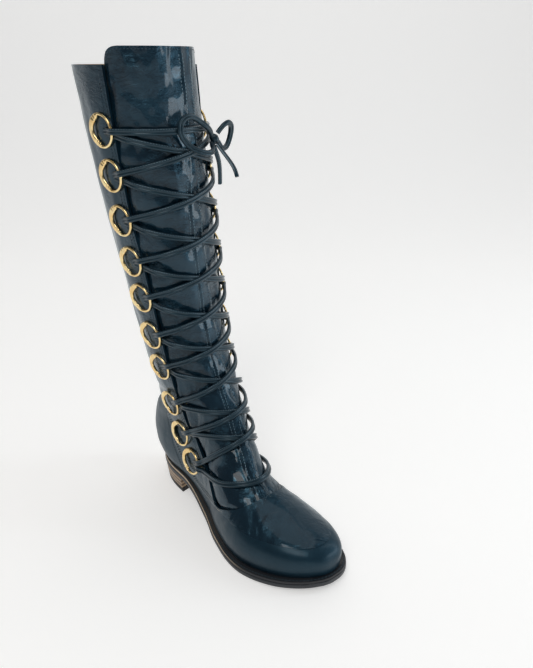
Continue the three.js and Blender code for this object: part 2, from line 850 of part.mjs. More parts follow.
function ringBody(frame, side, off) {
  const forward = frame.across.clone().multiplyScalar(-side);
  const points = [];
  for (const station of ringStations) {
    const turn = THREE.MathUtils.degToRad(station.turn);
    const ray = forward.clone().multiplyScalar(Math.cos(turn)).addScaledVector(frame.up, Math.sin(turn));
    const half = mix(wireThick, clampWide, station.clamp) / 2;
    const high = mix(wireThick, clampThick, station.clamp) / 2;
    const middleRadius = ringRadius + wireThick / 2 - half;
    for (const angle of ringSection) {
      const point = frame.at.clone();
      point.addScaledVector(frame.out, off + high - wireThick / 2 + high * Math.sin(angle));
      point.addScaledVector(ray, middleRadius + half * Math.cos(angle));
      points.push(...point);
    }
  }
  const faces = [];
  const stations = ringStations.length;
  const count = ringSection.length;
  for (let row = 0; row < stations; row += 1) {
    for (let i = 0; i < count; i += 1) {
      const a = row * count + i;
      const b = row * count + ((i + 1) % count);
      const c = ((row + 1) % stations) * count + ((i + 1) % count);
      const d = ((row + 1) % stations) * count + i;
      faces.push(a, b, c, a, c, d);
    }
  }
  return solid(points, faces);
}

// Least stand-off at which a ring clears the quarter below it all round
const quarterTop = overlayThick + gap;
function ringStandOff(frame, side) {
  let off = quarterTop + wireThick / 2;
  for (const station of ringStations) {
    const turn = THREE.MathUtils.degToRad(station.turn);
    const point = frame.at.clone().addScaledVector(frame.up, Math.sin(turn) * ringRadius);
    point.addScaledVector(frame.across, -side * Math.cos(turn) * ringRadius);
    const below = spotOn(point.y, point.z, side);
    const high = placeOn(below.rise, below.round).sub(point).dot(frame.out);
    off = Math.max(off, high + quarterTop + wireThick / 2);
  }
  return off;
}

const ringNames = { '-1': 'ring_outer', 1: 'ring_inner' };
const rings = { '-1': [], 1: [] };
for (const side of [-1, 1]) {
  ringSpots.forEach((row, i) => {
    const spot = ringSpotOf(i, side);
    const frame = frameAt(spot.rise, spot.round);
    rings[side].push(spot);
    const number = String(i + 1).padStart(2, '0');
    const ring = ringBody(frame, side, ringStandOff(frame, side));
    addPiece(`${ringNames[side]}_${number}`, ring, gold);
  });
}

// A flat strand over the front from an outer spot to an inner spot, ending short of both rings
const strandStations = 11;
const ringReach = ringRadius + wireThick / 2 + laceThick / 2;
const spotBetween = (from, to, share, bow) => {
  const rise = mix(from.rise, to.rise, share) + bow * 4 * share * (1 - share);
  const near = share < 0.5 ? from : to;
  const side = Math.sign(near.round);
  return { rise, round: roundTo(rise, near.y, side) * Math.abs(2 * share - 1) };
};

// How far a taut strand bows upwards over the instep, so that its way is the shortest
const bowTries = 24;
const bowStep = 2;
function tautBow(from, to) {
  let best = 0;
  let least = Infinity;
  for (let i = 0; i < bowTries; i += 1) {
    let long = 0;
    let previous = placeOn(from.rise, from.round);
    for (let k = 1; k < strandStations; k += 1) {
      const spot = spotBetween(from, to, k / (strandStations - 1), i * bowStep);
      const point = placeOn(spot.rise, spot.round);
      long += point.distanceTo(previous);
      previous = point;
    }
    if (long < least) {
      least = long;
      best = i * bowStep;
    }
  }
  return best;
}

// Share of the way at which a strand has cleared the ring it comes from
function clearShare(from, to, bow) {
  const centre = placeOn(from.rise, from.round);
  const shareStep = 0.01;
  let share = shareStep;
  let spot = spotBetween(from, to, share, bow);
  while (placeOn(spot.rise, spot.round).distanceTo(centre) < ringReach) {
    share += shareStep;
    spot = spotBetween(from, to, share, bow);
  }
  return share;
}

function strand(from, to, lift, tautness = 1) {
  const bow = tautBow(from, to) * tautness;
  const loops = [];
  const first = clearShare(from, to, bow);
  const last = 1 - clearShare(to, from, bow);
  for (let i = 0; i < strandStations; i += 1) {
    const share = mix(first, last, i / (strandStations - 1));
    const spot = spotBetween(from, to, share, bow);
    const frame = frameAt(spot.rise, spot.round);
    const before = spotBetween(from, to, share - 0.02, bow);
    const after = spotBetween(from, to, share + 0.02, bow);
    const ahead = placeOn(after.rise, after.round).sub(placeOn(before.rise, before.round)).normalize();
    const wide = frame.out.clone().cross(ahead).normalize().multiplyScalar(laceWide / 2);
    const off = lift(share);
    const corner = (across, high) => {
      const point = frame.at.clone().addScaledVector(wide, across);
      return point.addScaledVector(frame.out, off + high * laceThick);
    };
    loops.push([corner(-1, 0), corner(-1, 1), corner(1, 1), corner(1, 0)]);
  }
  return loft(loops);
}

// Underside of a strand above the surface: over the quarters at its ends, on the panel between
const endLift = overlayThick + laceClear;
const middleLift = bandThick + laceClear - (wall + gap);
const throatShare = 0.26;
const hump = (share) => smooth(throatShare, 0.5, Math.min(share, 1 - share));
const pileUp = laceThick - laceSink;
const settledRows = 7;
const underTautness = 0.8;
const overTautness = 0.8;
const joinedFrom = 6;
const joined = [];
for (let i = 0; i < ringSpots.length - 1; i += 1) {
  const middle = i < settledRows ? middleLift : endLift;
  const overLift = (share) => mix(endLift, middle + pileUp, hump(share));
  const underLift = (share) => mix(endLift, middle, hump(share));
  const over = strand(rings[-1][i + 1], rings[1][i], overLift, overTautness);
  const under = strand(rings[-1][i], rings[1][i + 1], underLift, underTautness);
  if (i === 0) {
    const top = strand(rings[-1][0], rings[1][0], () => endLift);
    addPiece('lace_crossing_01', over.add(under).add(top), laceLeather);
  } else if (i < joinedFrom) {
    addPiece(`lace_crossing_${String(i + 1).padStart(2, '0')}`, over.add(under), laceLeather);
  } else {
    joined.push(over, under);
  }
}
addPiece('lace_crossing_low', wasm.Manifold.union(joined), laceLeather);
const lastRing = ringSpots.length - 1;
const barTautness = 0.35;
const bar = strand(rings[-1][lastRing], rings[1][lastRing], () => endLift, barTautness);
addPiece('lace_bar', bar, laceLeather);

// Bow: a knot on the uppermost strand near the inner side, with two loops and two ends
const knotWide = 8.8;
const knotHigh = 12;
const knotRound = 27;
const knotDrop = 10;
const cordSides = 8;
const cordStep = 2.2;
const bowFrame = frameAt(rings[1][0].rise - knotDrop, knotRound);
const knotLift = endLift + laceThick + gap + knotWide / 2;
const knotMiddle = lean(bowFrame.at.clone().addScaledVector(bowFrame.out, knotLift));
const keep = (point) => point;
const free = new Set(['lace_knot', ...Object.keys(bowRoutes)]);

const ball = new THREE.SphereGeometry(knotWide / 2, 10, 6);
ball.scale(1, 1, knotHigh / knotWide);
ball.translate(knotMiddle.x, knotMiddle.y, knotMiddle.z);
addPiece('lace_knot', body(ball), laceLeather, keep);

for (const [name, rows] of Object.entries(bowRoutes)) {
  const route = new THREE.CatmullRomCurve3(rows.map((row) => {
    const offset = new THREE.Vector3(row.side, row.back, row.up).multiplyScalar(bowReach);
    return offset.add(knotMiddle);
  }));
  const rim = [];
  for (let i = 0; i < cordSides; i += 1) {
    const angle = (2 * Math.PI * i) / cordSides;
    rim.push(new THREE.Vector2(Math.cos(angle), Math.sin(angle)).multiplyScalar(bowCord / 2));
  }
  const tube = new THREE.ExtrudeGeometry(new THREE.Shape(rim), {
    steps: Math.ceil(route.getLength() / (bowCord * cordStep)),
    extrudePath: route,
    bevelEnabled: false,
  });
  addPiece(name, body(tube), laceLeather, keep);
}

// Origin at the middle of the boot's bounding box without the free cords, on the floor
const bounds = new THREE.Box3();
for (const piece of boot.children) {
  if (!free.has(piece.name)) {
    bounds.expandByObject(piece);
  }
}
const middle = bounds.getCenter(new THREE.Vector3());
for (const piece of boot.children) {
  piece.geometry.translate(-middle.x, -middle.y, 0);
}

export default boot;
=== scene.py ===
import math
import bpy
import numpy as np
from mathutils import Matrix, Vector, noise


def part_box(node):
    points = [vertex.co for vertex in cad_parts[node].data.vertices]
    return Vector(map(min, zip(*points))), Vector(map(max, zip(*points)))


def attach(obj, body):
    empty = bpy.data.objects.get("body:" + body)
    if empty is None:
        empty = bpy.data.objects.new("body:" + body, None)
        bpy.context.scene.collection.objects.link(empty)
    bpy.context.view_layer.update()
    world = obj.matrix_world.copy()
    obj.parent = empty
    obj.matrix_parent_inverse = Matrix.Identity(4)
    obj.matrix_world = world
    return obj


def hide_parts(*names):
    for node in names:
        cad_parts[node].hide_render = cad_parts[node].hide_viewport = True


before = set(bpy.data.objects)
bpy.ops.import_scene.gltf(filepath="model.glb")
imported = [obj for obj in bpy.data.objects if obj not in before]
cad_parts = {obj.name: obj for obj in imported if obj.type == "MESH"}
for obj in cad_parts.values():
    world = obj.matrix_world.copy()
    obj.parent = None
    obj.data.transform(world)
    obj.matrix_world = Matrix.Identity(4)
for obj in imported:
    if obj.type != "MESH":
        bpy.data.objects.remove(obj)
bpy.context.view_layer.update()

# Driving sizes of the boot, in millimetres, as in the part's source
GAP = 0.3
FOOT_LENGTH = 264
BALL_WIDTH = 87
INSTEP_RISE = 100
SIDE_TUCK = 1.6
SIDE_FULL_HEIGHT = 11
HEEL_OVERHANG = 13
HEEL_BULGE = 6
HEEL_BULGE_END = 0.45
HEEL_RAISE = 21
TOP_LIFT_THICK = 6
OUTSOLE_THICK = 4.6
WELT_THICK = 2.6
WELT_PROUD_TOE = 4.2
WELT_PROUD_HEEL = 1.4
TOE_SPRING = 7
HEEL_LENGTH = 62
HEEL_TAPER = 2.5
BREAST_HOLLOW = 3
OUTSOLE_PROUD = 0.4
UPPER_CLEAR = 1.6 * GAP
WALL = 2
SHAFT_TOP = 447
SHAFT_DEPTH = 112
SHAFT_WIDTH = 98
SHAFT_SET_BACK = 13
LEAN_OUT = 24
LEAN_START = 90
TWIST_DEGREES = 9
PANEL_WALL = 1.8
PANEL_STAND = 14
PANEL_LAP = 9
THROAT_SKEW = 10
BAND_WIDTH = 13
BAND_THICK = 0.9
OVERLAY_THICK = 0.8
RING_RADIUS = 13.6
WIRE_THICK = 2.4
CLAMP_WIDE = 5.4
CLAMP_THICK = 2.9
LACE_WIDE = 6.0
LACE_THICK = 3.1
LACE_CLEAR = 0.8
BOW_CORD = 3.9
BOW_FLAT = (1.3, 0.85)
BOW_REACH = 40
# Heights between which the foot's form passes into the shaft's
BLEND = (62, 150)
# Rises between which a loop round the foot comes level
LEVEL = (8, 78)
LEVEL_AT = 0.35
TOE_CAP_START, TOE_CAP_POWER = 0.70, 2.4
HEEL_CAP_END, HEEL_CAP_POWER = 0.20, 2.1
VAMP_POWER_INSTEP, VAMP_POWER_TOE = 1.9, 2.5
SHAFT_POWER = 2.15
ARCH_SHARES = (0.26, 0.58)
SPRING_START, SPRING_POWER = 0.74, 1.8
COLLAR_EDGE = 0.315

# Foot plan: share of the length from the heel, centre and half width as shares of the ball width
FOOT_PLAN = [
    (0.00, 0.000, 0.320), (0.20, 0.000, 0.332), (0.34, -0.022, 0.322),
    (0.45, -0.050, 0.335), (0.56, -0.072, 0.405), (0.66, -0.066, 0.475),
    (0.74, -0.040, 0.500), (0.86, 0.028, 0.485), (1.00, 0.110, 0.420),
]
# Vamp ridge: share of the foot's length, rise as a share of the instep rise
VAMP_RIDGE = [
    (1.000, 0.070), (0.997, 0.130), (0.986, 0.195), (0.960, 0.262), (0.900, 0.335),
    (0.820, 0.410), (0.740, 0.490), (0.670, 0.580), (0.606, 0.695), (0.561, 0.836),
]
# Shaft: height share, front and back as shares of the depth, half width as a share of the width
SHAFT_ROWS = [
    (0.234, -0.174, 0.985, 0.360), (0.266, -0.080, 0.968, 0.352), (0.307, 0.018, 0.962, 0.357),
    (0.360, 0.107, 0.985, 0.380), (0.420, 0.170, 1.010, 0.405), (0.480, 0.210, 1.040, 0.427),
    (0.620, 0.248, 1.125, 0.467), (0.800, 0.270, 1.230, 0.500), (1.000, 0.285, 1.310, 0.515),
    (1.070, 0.288, 1.325, 0.517),
]
# Heel cup: rise share, overhang share, side bulge share
HEEL_BACK = [
    (0.00, 0.12, 0.00), (0.10, 0.48, 0.60), (0.22, 0.86, 0.95),
    (0.36, 1.00, 1.00), (0.52, 0.84, 0.75), (0.66, 0.42, 0.35),
]
# Front edge of the quarters and apron in side view: place and height as shares
THROAT_EDGE = [
    (0.315, 1.000), (0.311, 0.909), (0.305, 0.818), (0.297, 0.727), (0.283, 0.648),
    (0.269, 0.557), (0.259, 0.466), (0.246, 0.380), (0.220, 0.291), (0.174, 0.227),
    (0.114, 0.186), (0.061, 0.150), (0.008, 0.114), (-0.030, 0.094), (-0.064, 0.090),
    (-0.102, 0.099), (-0.152, 0.114), (-0.193, 0.130), (-0.240, 0.158),
]
# Lower edge of the quarters in side view
QUARTER_EDGE = [
    (0.700, 0.268), (0.470, 0.268), (0.360, 0.262), (0.325, 0.225), (0.292, 0.160),
    (0.230, 0.114), (0.160, 0.088), (0.070, 0.077), (-0.030, 0.084), (-0.064, 0.089),
]
# Front edge of the counter in side view, just behind the quarter's lower edge
COUNTER_EDGE = [
    (0.345, 0.222), (0.318, 0.172), (0.288, 0.130), (0.255, 0.098), (0.236, 0.062),
]
# Middle of the panel's band: height share, step to the side as a share of the shaft's width
BAND_LINE = [
    (0.13, -0.095), (0.21, -0.055), (0.34, -0.010), (0.70, 0.015), (0.92, 0.110), (1.10, 0.130),
]
# Rings of the outer side in side view: place and height as shares
RING_SPOTS = [
    (0.356, 0.884), (0.348, 0.799), (0.339, 0.709), (0.327, 0.622), (0.312, 0.541),
    (0.300, 0.452), (0.288, 0.372), (0.268, 0.273), (0.229, 0.195), (0.155, 0.137),
]
# Bow: points of each free cord from the knot's middle, as shares of the bow's reach
BOW_ROUTES = {
    "lace_loop_outer": [
        (-0.094, -0.056, 0.094), (-0.200, -0.162, 0.200), (-0.350, -0.245, 0.312),
        (-0.475, -0.232, 0.402), (-0.612, -0.232, 0.487), (-0.750, -0.245, 0.532),
        (-0.895, -0.257, 0.505), (-1.000, -0.262, 0.395), (-1.025, -0.270, 0.250),
        (-0.975, -0.280, 0.102), (-0.850, -0.307, -0.050), (-0.700, -0.357, -0.150),
        (-0.525, -0.382, -0.217), (-0.350, -0.370, -0.232), (-0.200, -0.257, -0.187),
        (-0.106, -0.043, -0.083),
    ],
    "lace_loop_inner": [
        (0.081, -0.029, 0.125), (0.162, -0.057, 0.225), (0.250, -0.082, 0.307),
        (0.362, -0.070, 0.337), (0.475, -0.007, 0.275), (0.537, 0.080, 0.137),
        (0.537, 0.142, -0.025), (0.462, 0.130, -0.162), (0.337, 0.067, -0.225),
        (0.212, 0.017, -0.200), (0.119, 0.013, -0.070),
    ],
    "lace_end_front": [
        (0.030, -0.094, -0.116), (0.075, -0.232, -0.262), (0.107, -0.345, -0.375),
        (0.132, -0.445, -0.475), (0.150, -0.532, -0.575), (0.157, -0.595, -0.675),
        (0.162, -0.637, -0.775),
    ],
    "lace_end_back": [
        (0.017, 0.038, -0.160), (0.100, 0.055, -0.337), (0.187, 0.105, -0.512),
        (0.250, 0.167, -0.700), (0.287, 0.217, -0.887), (0.300, 0.242, -1.062),
    ],
}


def smooth(low, high, value):
    t = np.clip((np.asarray(value, float) - low) / (high - low), 0, 1)
    return t * t * (3 - 2 * t)


def mix(a, b, t):
    return a + (b - a) * t


def curve(rows, column, key=0):
    """A smooth curve through the rows of a table that never overshoots them."""
    xs = np.array([row[key] for row in rows], float)
    ys = np.array([row[column] for row in rows], float)
    steps = np.diff(ys) / np.diff(xs)
    slopes = np.zeros(len(xs))
    slopes[0], slopes[-1] = steps[0], steps[-1]
    for i in range(1, len(xs) - 1):
        both = steps[i - 1] * steps[i]
        slopes[i] = 0 if both <= 0 else 2 * both / (steps[i - 1] + steps[i])

    def at(value):
        x = np.clip(np.asarray(value, float), xs[0], xs[-1])
        i = np.clip(np.searchsorted(xs, x, side="left") - 1, 0, len(xs) - 2)
        width = xs[i + 1] - xs[i]
        s = (x - xs[i]) / width
        rise = 3 * s * s - 2 * s ** 3
        lead = s * (1 - s) ** 2 * width * slopes[i]
        tail = s * s * (1 - s) * width * slopes[i + 1]
        return ys[i] + (ys[i + 1] - ys[i]) * rise + lead - tail

    return at


# Foot lines
TOE_Y = -FOOT_LENGTH / 2
HEEL_Y = FOOT_LENGTH / 2
plan_centre = curve(FOOT_PLAN, 1)
plan_half = curve(FOOT_PLAN, 2)


def share_at(y):
    return np.clip((HEEL_Y - y) / FOOT_LENGTH, 0, 1)


def round_end(amount, power):
    return (1 - np.clip(amount, 0, 1) ** power) ** (1 / power)


def toe_cap(share):
    return round_end((share - TOE_CAP_START) / (1 - TOE_CAP_START), TOE_CAP_POWER)


def heel_cap(share):
    return round_end((HEEL_CAP_END - share) / HEEL_CAP_END, HEEL_CAP_POWER)


def outline(y, out_toe, out_heel):
    """Both edges of the foot's plan at y, grown outwards at the toe and at the heel."""
    long = FOOT_LENGTH + out_toe + out_heel
    share = np.clip((HEEL_Y + out_heel - y) / long, 0, 1)
    out = mix(out_heel, out_toe, smooth(0.22, 0.5, share))
    half = (plan_half(share) * BALL_WIDTH + out) * toe_cap(share) * heel_cap(share)
    centre = plan_centre(share) * BALL_WIDTH
    return centre - half, centre + half


def sole_line(y):
    share = share_at(y)
    arch = HEEL_RAISE * (1 - smooth(*ARCH_SHARES, share))
    spring = np.clip((share - SPRING_START) / (1 - SPRING_START), 0, 1)
    return arch + TOE_SPRING * spring ** SPRING_POWER


def outsole_top(y):
    return sole_line(y) + OUTSOLE_THICK


def welt_top(y):
    return outsole_top(y) + GAP + WELT_THICK


def seat(y):
    return welt_top(y) + GAP


ridge_rows = [(float(seat(HEEL_Y - s * FOOT_LENGTH)) + r * INSTEP_RISE, HEEL_Y - s * FOOT_LENGTH)
              for s, r in VAMP_RIDGE]
shin_rows = [(h * SHAFT_TOP, f * SHAFT_DEPTH + SHAFT_SET_BACK) for h, f, b, w in SHAFT_ROWS]
heel_rows = [(float(seat(HEEL_Y)) + r * INSTEP_RISE, HEEL_Y + o * HEEL_OVERHANG)
             for r, o, b in HEEL_BACK]
calf_rows = [(h * SHAFT_TOP, b * SHAFT_DEPTH + SHAFT_SET_BACK) for h, f, b, w in SHAFT_ROWS]
front_at = curve(ridge_rows + shin_rows, 1)
back_at = curve(heel_rows + calf_rows, 1)
shaft_half = curve(SHAFT_ROWS, 3)
side_bulge = curve(HEEL_BACK, 2)
ridge_zs = np.linspace(ridge_rows[0][0], SHAFT_TOP, 1500)
ridge_ys = front_at(ridge_zs)


def ridge_at(y):
    return np.interp(y, ridge_ys, ridge_zs)


def loop_height(rise, y):
    follow = 1 - smooth(*LEVEL, rise)
    return rise + mix(seat(TOE_Y + FOOT_LENGTH * LEVEL_AT), seat(y), follow)


def loop_front(rise):
    low, high = TOE_Y, HEEL_Y
    for _ in range(26):
        middle = (low + high) / 2
        if front_at(loop_height(rise, middle)) > middle:
            low = middle
        else:
            high = middle
    return low


def loop_back(rise):
    return float(back_at(loop_height(rise, HEEL_Y)))


def foot_edges(y, z, back):
    share = share_at(y)
    full = seat(y) + SIDE_FULL_HEIGHT
    power = mix(VAMP_POWER_INSTEP, VAMP_POWER_TOE, smooth(0.6, 0.95, share))
    top = np.maximum(ridge_at(y), full + 1)
    dome = round_end((z - full) / (top - full), power)
    tuck = SIDE_TUCK * np.clip((full - z) / SIDE_FULL_HEIGHT, 0, None) ** 2
    depth = HEEL_CAP_END * FOOT_LENGTH
    behind = round_end((y - (back - depth)) / depth, HEEL_CAP_POWER)
    centre = plan_centre(share) * BALL_WIDTH
    rear = 1 - smooth(0, HEEL_BULGE_END, share)
    swell = HEEL_BULGE * side_bulge((z - seat(y)) / INSTEP_RISE) * rear
    straight = plan_half(share) * BALL_WIDTH * toe_cap(share)
    half = np.clip(straight + swell - tuck, 0, None) * behind * dome
    return centre - half, centre + half


def shaft_edges(y, z, front, back):
    place = 2 * (y - front) / (back - front) - 1
    half = shaft_half(z / SHAFT_TOP) * SHAFT_WIDTH * round_end(np.abs(place), SHAFT_POWER)
    return -half, half


def loop_sides(rise, ys, front, back):
    """Points of a loop at the places ys: one array for the outer side, one for the inner."""
    z = loop_height(rise, ys)
    blend = smooth(*BLEND, z)
    foot = foot_edges(ys, z, back)
    shaft = shaft_edges(ys, z, front, back)
    return [np.stack([mix(foot[k], shaft[k], blend), ys, z], axis=-1) for k in (0, 1)]


def lean(points):
    """Leans and twists the straight boot as it stands in the photograph."""
    p = np.asarray(points, float)
    up = np.clip(p[..., 2] - LEAN_START, 0, None) / (SHAFT_TOP - LEAN_START)
    turn = math.radians(TWIST_DEGREES) * smooth(LEAN_START * 0.6, LEAN_START * 2, p[..., 2])
    pivot = SHAFT_DEPTH * 0.6
    away = p[..., 1] - pivot
    x = p[..., 0] * np.cos(turn) - away * np.sin(turn)
    y = pivot + p[..., 0] * np.sin(turn) + away * np.cos(turn)
    return np.stack([x - LEAN_OUT * up, y, p[..., 2]], axis=-1)


# From the boot's own millimetres to the row frame in metres: the outsole's box gives the offset
sole_lo, sole_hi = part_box("outsole")
edge_ys = np.linspace(TOE_Y, HEEL_Y, 400)
edge_left, edge_right = outline(edge_ys, WELT_PROUD_TOE + OUTSOLE_PROUD, WELT_PROUD_HEEL + OUTSOLE_PROUD)
SHIFT = np.array([
    (edge_left.min() + edge_right.max()) / 2 - (sole_lo[0] + sole_hi[0]) * 500,
    (WELT_PROUD_HEEL - WELT_PROUD_TOE) / 2 - (sole_lo[1] + sole_hi[1]) * 500,
    0.0,
])


def to_frame(points):
    return (np.asarray(points, float) - SHIFT) / 1000


# Camera at the photograph's angle
CAMERA_AT = (-315.2, -434.4, 450.0)
CAMERA_TURN = -39
CAMERA_DOWN = 23.8
FOCAL_PX, WIDTH_PX, SENSOR = 620, 533, 36
camera = bpy.data.cameras.new("camera")
camera.sensor_fit = "HORIZONTAL"
camera.sensor_width = SENSOR
camera.lens = FOCAL_PX / WIDTH_PX * SENSOR
camera.clip_start = 0.01
camera_object = bpy.data.objects.new("camera", camera)
camera_object.location = to_frame(CAMERA_AT)
camera_object.rotation_euler = (math.radians(90 - CAMERA_DOWN), 0, math.radians(CAMERA_TURN))
bpy.context.collection.objects.link(camera_object)
bpy.context.scene.camera = camera_object


def lengths_along(points):
    return np.concatenate([[0], np.cumsum(np.linalg.norm(np.diff(points, axis=0), axis=1))])


def spline(points, count):
    """A smooth line through the points, with count steps between each two."""
    points = np.array(points, float)
    ends = np.concatenate([points[:1] * 2 - points[1:2], points, points[-1:] * 2 - points[-2:-1]])
    fine = []
    for a, b, c, d in zip(ends, ends[1:], ends[2:], ends[3:]):
        for t in np.arange(count) / count:
            fine.append(0.5 * (2 * b + (c - a) * t + (2 * a - 5 * b + 4 * c - d) * t * t
                               + (3 * b - a - 3 * c + d) * t ** 3))
    fine.append(points[-1])
    return np.array(fine)


# Places on the upper: rise of a loop above the seat, way round from its front, inner side positive
def trace(rise):
    front, back = loop_front(rise), loop_back(rise)
    ys = mix(front, mix(front, back, 0.75), (np.arange(61) / 60) ** 2)
    outer, inner = loop_sides(rise, ys, front, back)
    outer[0, 0] = inner[0, 0] = (outer[0, 0] + inner[0, 0]) / 2
    return outer, inner


traces = {}


def trace_lengths(rise):
    key = round(float(rise), 2)
    if key not in traces:
        traces[key] = [(side, lengths_along(side)) for side in trace(key)]
    return traces[key]


def place_on(rise, round_):
    side, far = trace_lengths(rise)[0 if round_ < 0 else 1]
    return np.array([np.interp(abs(round_), far, side[:, k]) for k in range(3)])


def frame_at(rise, round_):
    """A place with its directions outwards, across towards the inner side, and up."""
    step = 2
    at = place_on(rise, round_)
    across = place_on(rise, round_ + step) - place_on(rise, round_ - step)
    across /= np.linalg.norm(across)
    up = place_on(rise + step, round_) - place_on(rise - step, round_)
    out = np.cross(across, up)
    out /= np.linalg.norm(out)
    return at, out, across, np.cross(out, across)


def round_to(rise, y, side):
    points, far = trace_lengths(rise)[0 if side < 0 else 1]
    return side * float(np.interp(y, points[:, 1], far))


def spot_on(y, z, side):
    """Rise and way round of the place that the side view shows at y and z."""
    low, high = -10.0, float(SHAFT_TOP * 1.1)
    for _ in range(24):
        middle = (low + high) / 2
        if loop_height(middle, y) < z:
            low = middle
        else:
            high = middle
    return low, round_to(low, y, side), y


def leather_at(y, z, side):
    """Place and outward direction of the leather that the side view shows at y and z."""
    rise, round_, _ = spot_on(y, z, side)
    return frame_at(rise, round_)[:2]


# Mesh helpers
def new_object(name, points, faces, material, smooth_angle=40):
    """A mesh object from points in the row frame."""
    mesh = bpy.data.meshes.new(name)
    mesh.from_pydata([tuple(p) for p in points], [], [tuple(f) for f in faces])
    mesh.validate()
    mesh.update()
    obj = bpy.data.objects.new(name, mesh)
    bpy.context.collection.objects.link(obj)
    mesh.materials.append(material)
    mesh.shade_smooth()
    mesh.set_sharp_from_angle(angle=math.radians(smooth_angle))
    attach(obj, "root")
    return obj


def tube_faces(rows, count, closed_rows=False):
    faces = []
    for row in range(rows if closed_rows else rows - 1):
        a, b = row * count, ((row + 1) % rows) * count
        for i in range(count):
            k = (i + 1) % count
            faces.append((a + i, a + k, b + k, b + i))
    if not closed_rows:
        faces.append(tuple(range(count))[::-1])
        faces.append(tuple((rows - 1) * count + i for i in range(count)))
    return faces


def signed_distance(polygon, q):
    """Distance of points to a polygon, below zero inside it."""
    best = np.full(len(q), np.inf)
    inside = np.zeros(len(q), bool)
    for a, b in zip(polygon, np.roll(polygon, -1, axis=0)):
        side = b - a
        h = np.clip(((q - a) @ side) / max(side @ side, 1e-9), 0, 1)
        best = np.minimum(best, np.linalg.norm(q - a - h[:, None] * side, axis=1))
        crosses = (a[1] > q[:, 1]) != (b[1] > q[:, 1])
        with np.errstate(divide="ignore", invalid="ignore"):
            x = side[0] * (q[:, 1] - a[1]) / side[1] + a[0]
        inside ^= crosses & (q[:, 0] < x)
    return np.where(inside, -best, best)


def clip(rows, faces, field):
    """Keeps the part of a mesh where the field is above zero. rows hold a vertex's values."""
    rows = [np.asarray(r) for r in rows]
    field = list(field)
    made = {}
    kept = []
    for face in faces:
        values = [field[i] for i in face]
        if min(values) > 0:
            kept.append(face)
            continue
        if max(values) <= 0:
            continue
        polygon = []
        for i, j in zip(face, face[1:] + face[:1]):
            if field[i] > 0:
                polygon.append(i)
            if (field[i] > 0) != (field[j] > 0):
                key = (min(i, j), max(i, j))
                if key not in made:
                    t = field[i] / (field[i] - field[j])
                    made[key] = len(rows)
                    rows.append(rows[i] + (rows[j] - rows[i]) * t)
                    field.append(0.0)
                polygon.append(made[key])
        if len(polygon) > 2:
            kept.append(tuple(polygon))
    used = sorted({i for face in kept for i in face})
    renumber = {old: new for new, old in enumerate(used)}
    return np.array([rows[i] for i in used]), [tuple(renumber[i] for i in f) for f in kept]


# The upper's surface as one fine grid: each row of values holds a place and its normal
GRID_ROWS, GRID_SIDE = 170, 96


def surface_grid():
    """Loops from below the seat to above the collar, closer together on the foot."""
    loops = []
    for i in range(GRID_ROWS + 1):
        s = i / GRID_ROWS
        rise = SHAFT_TOP * mix(-0.006, 1.045, 0.28 * s + 0.72 * s * s)
        front, back = loop_front(rise), loop_back(rise)
        turn = (1 - np.cos(np.pi * np.arange(GRID_SIDE + 1) / GRID_SIDE)) / 2
        outer, inner = loop_sides(rise, mix(front, back, turn), front, back)
        for k in (0, -1):
            outer[k, 0] = (outer[k, 0] + inner[k, 0]) / 2
        loops.append(np.concatenate([outer, inner[1:-1][::-1]]))
    grid = np.array(loops)
    along = np.roll(grid, -1, axis=1) - np.roll(grid, 1, axis=1)
    up = np.gradient(grid, axis=0)
    normal = np.cross(up, along)
    normal /= np.maximum(np.linalg.norm(normal, axis=2, keepdims=True), 1e-9)
    count = grid.shape[1]
    faces = []
    for row in range(GRID_ROWS):
        for i in range(count):
            k = (i + 1) % count
            a, b = row * count, (row + 1) * count
            faces.append((a + k, a + i, b + i, b + k))
    return np.concatenate([grid, normal], axis=2).reshape(-1, 6), faces


surface, surface_faces = surface_grid()


def side_line(rows, shift=0.0, skew=0.0, finer=4):
    """A smooth side-view line through a table's rows, moved sideways by a distance."""
    y = np.array([r[0] * FOOT_LENGTH for r in rows])
    z = np.array([r[1] * SHAFT_TOP for r in rows])
    y = y - skew * smooth(*BLEND, z)
    fine = spline(np.stack([y, z], axis=1), finer)
    along = np.gradient(fine, axis=0)
    along /= np.linalg.norm(along, axis=1, keepdims=True)
    return fine + np.stack([-along[:, 1], along[:, 0]], axis=1) * shift


FAR = 300.0
CUT_TOP = SHAFT_TOP * 1.3


def throat_polygon(lap, skew, top, corner):
    """Side view of all that lies in front of the quarters' edge, with a rounded top corner."""
    edge = side_line(THROAT_EDGE, lap, skew)
    edge = edge[edge[:, 1] < SHAFT_TOP - lap - 1]
    collar_y = COLLAR_EDGE * FOOT_LENGTH - skew
    turn = []
    for i in range(9):
        angle = math.pi / 2 * (1 - i / 8)
        y = collar_y - corner * (1 - math.cos(angle))
        turn.append((y, top - corner * (1 - math.sin(angle))))
    return np.array([*edge, (-FAR, edge[-1][1]), (-FAR, top), *turn])


def by_side(rows, make):
    """A side-view field, with a polygon of its own for the outer side and for the inner."""
    outer, inner = [signed_distance(make(skew), rows[:, 1:3]) for skew in (0, THROAT_SKEW)]
    return np.where(rows[:, 0] < 0, outer, inner)


def throat_field(rows):
    return by_side(rows, lambda skew: throat_polygon(0, skew, CUT_TOP, 0))


def panel_field(rows):
    top = SHAFT_TOP + PANEL_STAND
    return -by_side(rows, lambda skew: throat_polygon(PANEL_LAP, skew, top, PANEL_STAND))


def quarter_field(rows):
    floor = side_line(QUARTER_EDGE)
    polygon = np.array([(FAR, CUT_TOP), *floor, (-FAR, floor[-1][1]), (-FAR, CUT_TOP)])
    return -signed_distance(polygon, rows[:, 1:3])


